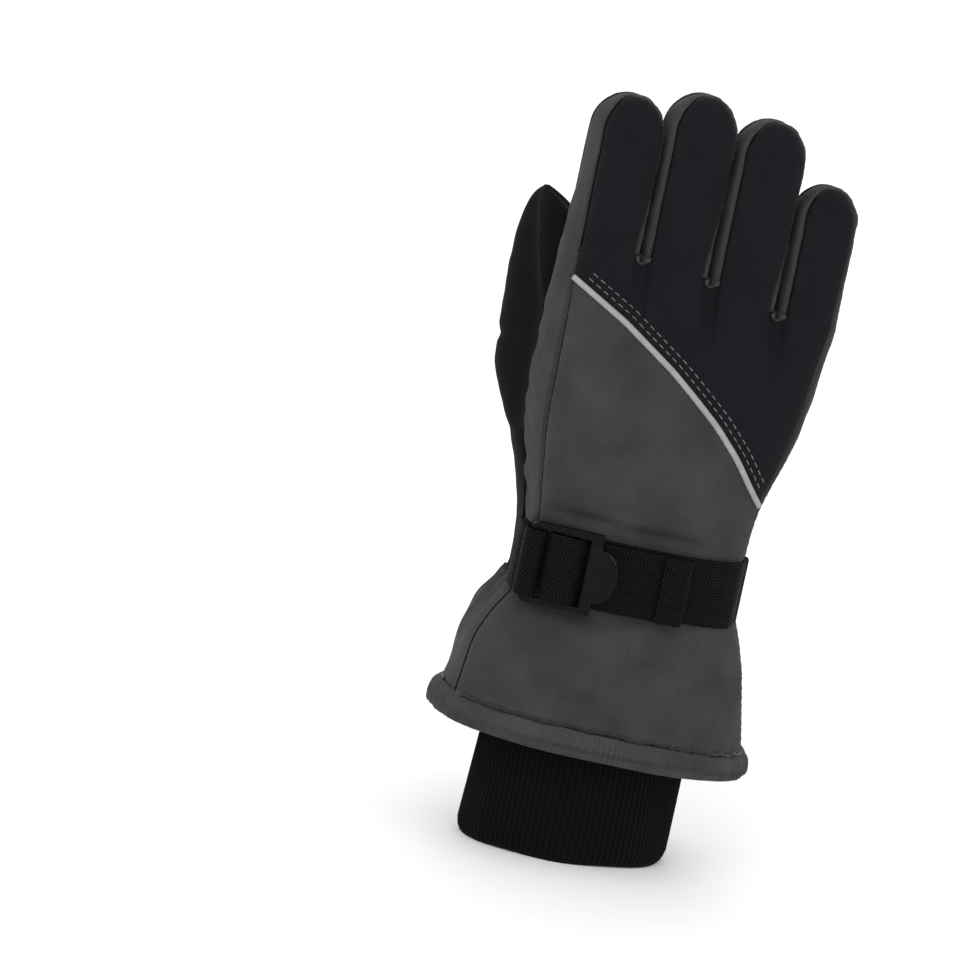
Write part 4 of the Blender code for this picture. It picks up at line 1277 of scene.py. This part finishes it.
class Surface:
    """The outside of some finished pieces, found along the depth of the glove."""

    def __init__(self, *names):
        self.trees = []
        for name in names:
            mesh = bpy.data.objects[name].data
            points = [v.co.copy() for v in mesh.vertices]
            self.trees.append(BVHTree.FromPolygons(points, [tuple(p.vertices) for p in mesh.polygons]))

    def drop(self, x, z, side):
        """The outermost point and its normal at this place, in millimetres."""
        start = Vector(world((x, side * 90.0, z)))
        best = None
        for tree in self.trees:
            place, normal, _, distance = tree.ray_cast(start, Vector((0, -side, 0)))
            if place is not None and (best is None or distance < best[2]):
                best = (np.array(place) / MM - SHIFT, np.array(normal), distance)
        if best is None:
            return None
        normal = best[1] * (1 if best[1][1] * side > 0 else -1)
        return best[0], normal


def stitch_row(name, surface, line, side, finish, length, gap, thick, lift=0.12):
    """Separate stitches along a line of (x, z) places, each a low bow of thread that dives at its ends."""
    line = np.asarray(line, float)
    run = path_lengths(line)
    points, faces = [], []
    sides = 6
    bow = ((0.0, -0.15, thick / 3), (0.3, lift, thick / 2), (0.7, lift, thick / 2), (1.0, -0.15, thick / 3))
    for begin in np.arange(gap, run[-1] - length, length + gap):
        places = [begin + length * share for share, _, _ in bow]
        xs, zs = (np.interp(places, run, line[:, k]) for k in (0, 1))
        spots = [surface.drop(x, z, side) for x, z in zip(xs, zs)]
        if None in spots:
            continue
        base = len(points)
        way = spots[-1][0] - spots[0][0]
        way /= max(np.linalg.norm(way), 1e-9)
        for (place, normal), (_, high, wide) in zip(spots, bow):
            out = np.cross(way, normal)
            out /= max(np.linalg.norm(out), 1e-9)
            for turn in (2 * math.pi * k / sides for k in range(sides)):
                points.append(place + normal * (high + wide * math.sin(turn)) + out * wide * math.cos(turn))
        faces += [tuple(face) for face in quads(len(bow), sides, ring=True, start=base)]
        faces.append(tuple(base + k for k in range(sides - 1, -1, -1)))
        faces.append(tuple(base + (len(bow) - 1) * sides + k for k in range(sides)))
    attach(add_mesh(name, points, faces, finish, sharp=80.0), "hand")


def offset_line(line, by):
    """A line of (x, z) places moved sideways, to its left."""
    line = np.asarray(line, float)
    run = np.gradient(line, axis=0)
    run /= np.linalg.norm(run, axis=1, keepdims=True)
    return line + np.stack([-run[:, 1], run[:, 0]], axis=1) * by


def hem_groove(name, surface, side):
    """The thick dark seam, drawn up unevenly, that holds the hem roll."""
    x = np.linspace(-55.0, 57.5, 260)
    wander = 0.4 * np.sin(x * 0.9 + 2 * np.sin(x * 0.23)) + 0.25 * np.sin(x * 2.1)
    found = [surface.drop(*spot, side) for spot in zip(x, hem_line(x) + 1.45 + 0.8 * wander)]
    path, normals = (np.array(values) for values in zip(*(spot for spot in found if spot)))
    attach(tube(name, path + normals * 0.3, normals, finishes["dark_thread_and_seam_shade"], 1.5, 1.0, sides=6), "hand")


def seam_shade_cord(name, seam, outward, low, high):
    """A near-black cord sunk into the groove of a side seam: painted shade along the seam."""
    z = np.linspace(low, high, 140)
    z = z + 0.3 * np.sin(z * 1.1)
    x = seam(z) + 0.12 * np.sin(z * 2.1)
    points = np.stack([x, -reach(x, z), z], axis=1)
    normals = np.tile(np.array((outward, -1.0, 0.0)) / math.sqrt(2), (len(z), 1))
    attach(tube(name, points - normals * 0.45, normals, finishes["dark_thread_and_seam_shade"], 0.95, 0.7, sides=6), "hand")


def make_piping():
    """The reflective piping down the diagonal seam, with its edge stitch and two rows of topstitching."""
    back = Surface("back_lower_cloth", "back_upper_cloth")
    x = np.linspace(-40.6, 43.0, 150)
    places = np.stack([x, diagonal(x)], axis=1)
    depth = -pillow(places[:, 0], places[:, 1], -1)
    lean = across(places[:, 0], places[:, 1]) ** 5 * 1.2
    around = np.stack([lean, -np.ones_like(x), np.zeros_like(x)], axis=1)
    around /= np.linalg.norm(around, axis=1, keepdims=True)
    lower = offset_line(places, -0.35)
    path = np.stack([lower[:, 0], depth, lower[:, 1]], axis=1)
    piping = tube("piping_cord", path + around * 0.25, around, finishes["reflective"], 2.35, 1.9)
    attach(piping, "hand", "reflective_piping", slot="reflective")
    for number, away in enumerate((2.9, 5.2)):
        row = offset_line(places, away)[4:-6]
        stitch_row(f"piping_topstitch_{number + 1}", back, row, -1, finishes["thread"], 2.4, 1.05, 0.42)
    edge = offset_line(places, -1.75)[3:-3]
    stitch_row("piping_edge_stitch", back, edge, -1, finishes["dark_thread_and_seam_shade"], 2.6, 0.5, 0.3, 0.02)


def make_seams():
    """The dark seam of the hem, the painted shade along the side seams, and the stitching of the palm side.
    """
    hem_groove("hem_seam_back", Surface("back_lower_cloth", "back_upper_cloth"), -1)
    hem_groove("hem_seam_palm", Surface("gauntlet_palm_cloth"), 1)
    seam_shade_cord("thumb_side_seam", seam_left, -1.0, 54.0, 222.0)
    seam_shade_cord("little_side_seam", seam_right, 1.0, 52.0, 207.0)
    palm = Surface("palm_cloth", "thumb_mound_cloth", "gauntlet_palm_cloth")
    corners = np.arange(-31.0, 41.0, 4.9)
    zigzag = [(x, gather_line(x) + (8.5 if number % 2 else 2.0)) for number, x in enumerate(corners)]
    stitch_row("elastic_zigzag", palm, zigzag, 1, finishes["dark_thread"], 1.5, 0.45, 0.38)
    thumb = Surface("thumb_mound_cloth", "palm_cloth")
    heights = np.linspace(109, 147, 40)
    rim = np.stack([thumb_inner(heights) - 2.2, heights], axis=1)
    stitch_row("thumb_seam_stitch", thumb, rim, 1, finishes["dark_thread_and_seam_shade"], 1.5, 0.5, 0.3, 0.03)


# ---- Strap and buckle ----
BUCKLE_HINGE = np.array((-38.0, -21.3))
BUCKLE_SLOPE = math.radians(20)
BUCKLE_COLUMNS = (-1.9, 1.9, 10.5, 13.6, 20.5, 24.6)  # edges of its bars and slots, from the hinge
BUCKLE_HALF_HIGH, SLOT_HALF, BUCKLE_HALF_THICK = 15.0, 12.75, 1.6
TAB_THICK, TAB_PLACE, TAB_REACH, TAB_HALF = 1.8, 24.0, 8.2, 10.0
TAB_LOOP = 3.6  # radius of the webbing round the buckle's first bar
TAIL_FROM, TAIL_TO, TAIL_Y = -2.0, 20.0, -27.4


def rounded_path(points, step=0.5, passes=3):
    """A path with its corners cut round, then spaced evenly."""
    path = np.asarray(points, float)
    for _ in range(passes):
        near, far = path[:-1] * 0.75 + path[1:] * 0.25, path[:-1] * 0.25 + path[1:] * 0.75
        path = np.concatenate([path[:1], np.stack([near, far], axis=1).reshape(-1, 2), path[-1:]])
    run = path_lengths(path)
    spots = np.linspace(0, run[-1], max(8, int(run[-1] / step)))
    return np.stack([np.interp(spots, run, path[:, k]) for k in (0, 1)], axis=1)


def webbing(name, path, thick=WEBBING_THICK, middle=STRAP_MIDDLE, tilt=0.0):
    """Webbing that stands on its edge along a path seen from above, with rounded woven edges."""
    run = np.gradient(path, axis=0)
    out = np.stack([-run[:, 1], run[:, 0]], axis=1)
    out /= np.linalg.norm(out, axis=1, keepdims=True)
    edge_from = 0.9
    rows = np.concatenate([[-1.0, -0.985, -0.95], np.linspace(-edge_from, edge_from, 15), [0.95, 0.985, 1.0]])
    in_edge = ((np.abs(rows) - edge_from) / (1 - edge_from)).clip(0, 1)
    thin = np.sqrt(np.clip(1 - in_edge**2, 0.02, 1))
    z = middle + rows[:, None] * WEBBING / 2 + tilt * (path[None, :, 0] - path[0, 0])
    grids = []
    for side in (1, -1):
        flat = path + out * (side * thick / 2 * thin)[:, None, None]
        grids.append(np.concatenate([flat, z[:, :, None]], axis=2))
    uv = np.stack(np.broadcast_arrays(path_lengths(path), (rows[:, None] + 1) * WEBBING / 2), axis=2)
    return slab(name, *grids, finishes["webbing"], uv=uv)


def make_strap():
    """The strap, over the back of the wrist and round into the little finger's side, and the buckle's tab."""
    x = np.linspace(-20.0, 43.2, 60)
    over = np.max([pillow(x, STRAP_MIDDLE + rise, -1) for rise in (-11, -6, 0, 6, 11)], axis=0) + 0.95
    edge = float(seam_right(STRAP_MIDDLE))
    bulge, depth = bulge_right(STRAP_MIDDLE) + 1.2, float(reach(43.0, STRAP_MIDDLE))
    turns = math.pi / 2 * np.linspace(0.12, 0.62, 8)
    path = list(zip(x, -over)) + list(zip(edge + bulge * np.sin(turns * 1.6), -depth * np.cos(turns) - 0.4))
    path.append((path[-1][0] - 2.2, path[-1][1] + 1.2))
    piece = webbing("wrist_strap_webbing", rounded_path(path, 0.8, 2), tilt=-0.06)
    attach(piece, "hand", "wrist_strap", slot="webbing")
    turns = np.radians(np.linspace(130, 410, 24))
    loop = BUCKLE_HINGE + TAB_LOOP * np.stack([np.cos(turns), np.sin(turns)], axis=1)
    path = rounded_path([(-41.4, -9.0), (-41.7, -15.0), *loop, (-39.4, -15.0), (-39.6, -9.0)], 0.4, 1)
    attach(webbing("buckle_tab_webbing", path), "hand", "buckle_tab", slot="webbing")


def buckle_place(u, v):
    """A point in plan, along the buckle and off its face."""
    out = np.array((math.cos(BUCKLE_SLOPE), -math.sin(BUCKLE_SLOPE)))
    return BUCKLE_HINGE + out * u + np.array((-out[1], out[0])) * v


def make_buckle_webbing():
    """The strap where it wraps the buckle's middle bar, and the free end that comes back out over itself."""
    wrap = (
        (15.8, 2.3), (14.0, 2.6), (11.0, 2.7), (7.6, 2.3), (5.7, 1.3),
        (5.3, -0.6), (6.1, -2.2), (8.0, -2.9), (11.5, -3.0), (14.6, -2.8),
    )
    path = rounded_path([buckle_place(*spot) for spot in wrap], 0.4, 2)
    attach(webbing("strap_wrap_webbing", path), "buckle", "strap_wrap", slot="webbing")
    dive = ((14.0, -2.9), (16.0, -2.3), (17.6, -0.4), (19.2, 1.8), (21.5, 3.0), (25.0, 3.4))
    fold = TAIL_Y - WEBBING_THICK - 0.25
    out_and_back = (
        (-9.0, -27.0), (-4.0, -27.2), (0.0, TAIL_Y), (6.0, TAIL_Y), (13.0, TAIL_Y + 0.1),
        (TAIL_TO - 1.5, TAIL_Y + 0.3), (TAIL_TO - 0.2, TAIL_Y - 0.4), (TAIL_TO - 1.2, fold),
        (15.0, fold + 0.1), (9.5, fold + 0.2),
    )
    path = rounded_path([buckle_place(*spot) for spot in dive] + list(out_and_back), 0.45, 2)
    piece = webbing("strap_tail_webbing", path, thick=1.3, middle=STRAP_MIDDLE - 0.2, tilt=-0.05)
    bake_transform(piece)
    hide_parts("strap_tail")


def select_only(obj):
    for other in bpy.context.selected_objects:
        other.select_set(False)
    bpy.context.view_layer.objects.active = obj
    obj.select_set(True)


def apply_all(obj):
    select_only(obj)
    for modifier in list(obj.modifiers):
        bpy.ops.object.modifier_apply(modifier=modifier.name)


def make_buckle():
    """A ladder-lock buckle: a frame with two slots and a half-moon pull tab, all with round edges."""
    columns = BUCKLE_COLUMNS
    rows = (-BUCKLE_HALF_HIGH, -SLOT_HALF, SLOT_HALF, BUCKLE_HALF_HIGH)
    bpy.ops.mesh.primitive_grid_add(x_subdivisions=len(columns) - 1, y_subdivisions=len(rows) - 1, size=1.0)
    obj = bpy.context.active_object
    obj.name = "ladder_lock_buckle"
    select_only(obj)
    for vertex in obj.data.vertices:
        col = round((vertex.co.x + 0.5) * (len(columns) - 1))
        row = round((vertex.co.y + 0.5) * (len(rows) - 1))
        vertex.co = (columns[col], rows[row], -BUCKLE_HALF_THICK)
    bpy.ops.object.mode_set(mode="EDIT")
    shape = bmesh.from_edit_mesh(obj.data)
    for face in shape.faces:
        centre = face.calc_center_median()
        in_slot = columns[1] < centre.x < columns[2] or columns[3] < centre.x < columns[4]
        face.select = abs(centre.y) < SLOT_HALF and in_slot
    bmesh.update_edit_mesh(obj.data)
    bpy.ops.mesh.delete(type="FACE")
    bpy.ops.mesh.select_all(action="SELECT")
    bpy.ops.mesh.extrude_region_move(TRANSFORM_OT_translate={"value": (0, 0, 2 * BUCKLE_HALF_THICK)})
    bpy.ops.mesh.select_all(action="SELECT")
    bpy.ops.mesh.normals_make_consistent(inside=False)
    shape = bmesh.from_edit_mesh(obj.data)
    for edge in shape.edges:
        ends = [v.co for v in edge.verts]
        upright = abs(ends[0].z - ends[1].z) > 1
        corner = all(abs(c.y) > BUCKLE_HALF_HIGH - 0.01 and c.x < columns[0] + 0.1 for c in ends)
        edge.select = upright and corner
    shape.select_flush_mode()
    bmesh.update_edit_mesh(obj.data)
    bpy.ops.mesh.bevel(offset=3.0, segments=5, affect="EDGES")
    bpy.ops.object.mode_set(mode="OBJECT")
    place = (TAB_PLACE, 0.0, TAB_THICK / 2)
    bpy.ops.mesh.primitive_cylinder_add(vertices=48, radius=1.0, depth=TAB_THICK, location=place)
    tab = bpy.context.active_object
    select_only(tab)
    for vertex in tab.data.vertices:
        vertex.co.x = max(vertex.co.x, -0.25) * TAB_REACH
        vertex.co.y *= TAB_HALF
    join = obj.modifiers.new("pull_tab", "BOOLEAN")
    join.operation = "UNION"
    join.object = tab
    bevel = obj.modifiers.new("round_edges", "BEVEL")
    bevel.width, bevel.segments, bevel.angle_limit = 0.55, 3, math.radians(40)
    apply_all(obj)
    bpy.data.objects.remove(tab)
    # Painted highlight: the rounded edges, where no normal lies along an axis, get high edge values, which
    # the nylon finish paints light.
    flatness = np.array([max(abs(n) for n in v.normal) for v in obj.data.vertices])
    wear_and_painted_light = np.clip((0.91 - flatness) / 0.12, 0, 1)
    obj.data.attributes.new("edge", "FLOAT", "POINT").data.foreach_set("value", wear_and_painted_light)
    turn = Matrix.Rotation(-BUCKLE_SLOPE, 4, "Z") @ Matrix.Rotation(math.radians(90), 4, "X")
    place = Matrix.Translation(Vector(world((*BUCKLE_HINGE, STRAP_MIDDLE))))
    obj.data.transform(place @ turn @ Matrix.Scale(MM, 4))
    obj.matrix_world = Matrix.Identity(4)
    obj.data.materials.clear()
    obj.data.materials.append(finishes["plastic"])
    select_only(obj)
    bpy.ops.object.shade_smooth_by_angle(angle=math.radians(35))
    attach(obj, "buckle", "buckle", slot="hard_plastic")


# ---- Floor, light and camera ----
def make_setting():
    """A pale floor under an even sky, with three soft lamps."""
    bpy.ops.mesh.primitive_plane_add(size=14.0, location=(0.0, 0.0, 0.0))
    floor = bpy.context.active_object
    floor.name = "floor"
    paper, tree = start_finish("pale_paper", Roughness=0.9)
    grain = noise(tree, object_space(tree), 90.0)
    floor.data.materials.append(end_finish(paper, mix_colour(tree, grain, grey(0.93), grey(0.95))))
    sky = bpy.data.worlds.new("studio")
    bpy.context.scene.world = sky
    sky.use_nodes = True
    background = sky.node_tree.nodes["Background"]
    background.inputs["Color"].default_value = (1.0, 1.0, 1.0, 1.0)
    background.inputs["Strength"].default_value = 1.0
    aim = Vector((0, 0, 0.14))
    for name, place, size, power in (
        ("key_light", (-0.9, -1.3, 1.5), 1.2, 11.0),
        ("fill_light", (1.3, -0.9, 0.9), 1.4, 2.0),
        ("back_light", (0.3, 1.5, 1.3), 1.2, 6.0),
    ):
        lamp = bpy.data.lights.new(name, "AREA")
        lamp.energy, lamp.size = power, size
        holder = bpy.data.objects.new(name, lamp)
        holder.location = place
        holder.rotation_euler = (aim - Vector(place)).to_track_quat("-Z", "Y").to_euler()
        bpy.context.scene.collection.objects.link(holder)
    bpy.context.scene.view_settings.view_transform = "Standard"


def make_camera():
    """A long lens in front of the back of the hand, a little to the thumb side and above, and rolled."""
    azimuth, elevation, roll = math.radians(-15), math.radians(14), math.radians(12)
    view_width, rightward, upward = 0.3492, -0.02797, 0.1326
    level = Vector((math.cos(azimuth), math.sin(azimuth), 0.0))
    front = Vector((math.sin(azimuth), -math.cos(azimuth), 0.0))
    back = front * math.cos(elevation) + Vector((0.0, 0.0, math.sin(elevation)))
    upright = back.cross(level)
    right = level * math.cos(roll) + upright * math.sin(roll)
    up = upright * math.cos(roll) - level * math.sin(roll)
    lens = bpy.data.cameras.new("camera")
    lens.lens, lens.sensor_width = 450.0, 36.0
    lens.clip_start, lens.clip_end = 0.1, 50.0
    target = Vector(world((0.0, 0.0, 0.0))) + right * rightward + up * upward
    place = Matrix.Translation(target + back * (view_width * lens.lens / lens.sensor_width))
    camera = bpy.data.objects.new("camera", lens)
    camera.matrix_world = place @ Matrix((right, up, back)).transposed().to_4x4()
    bpy.context.scene.collection.objects.link(camera)
    bpy.context.scene.camera = camera


make_setting()
make_camera()
make_back()
make_sides()
make_palm()
make_gauntlet()
make_hem()
make_knit()
make_layers()
make_fingers()
make_crotches()
make_mound()
make_thumb()
make_saddle()
make_piping()
make_seams()
make_strap()
make_buckle_webbing()
make_buckle()
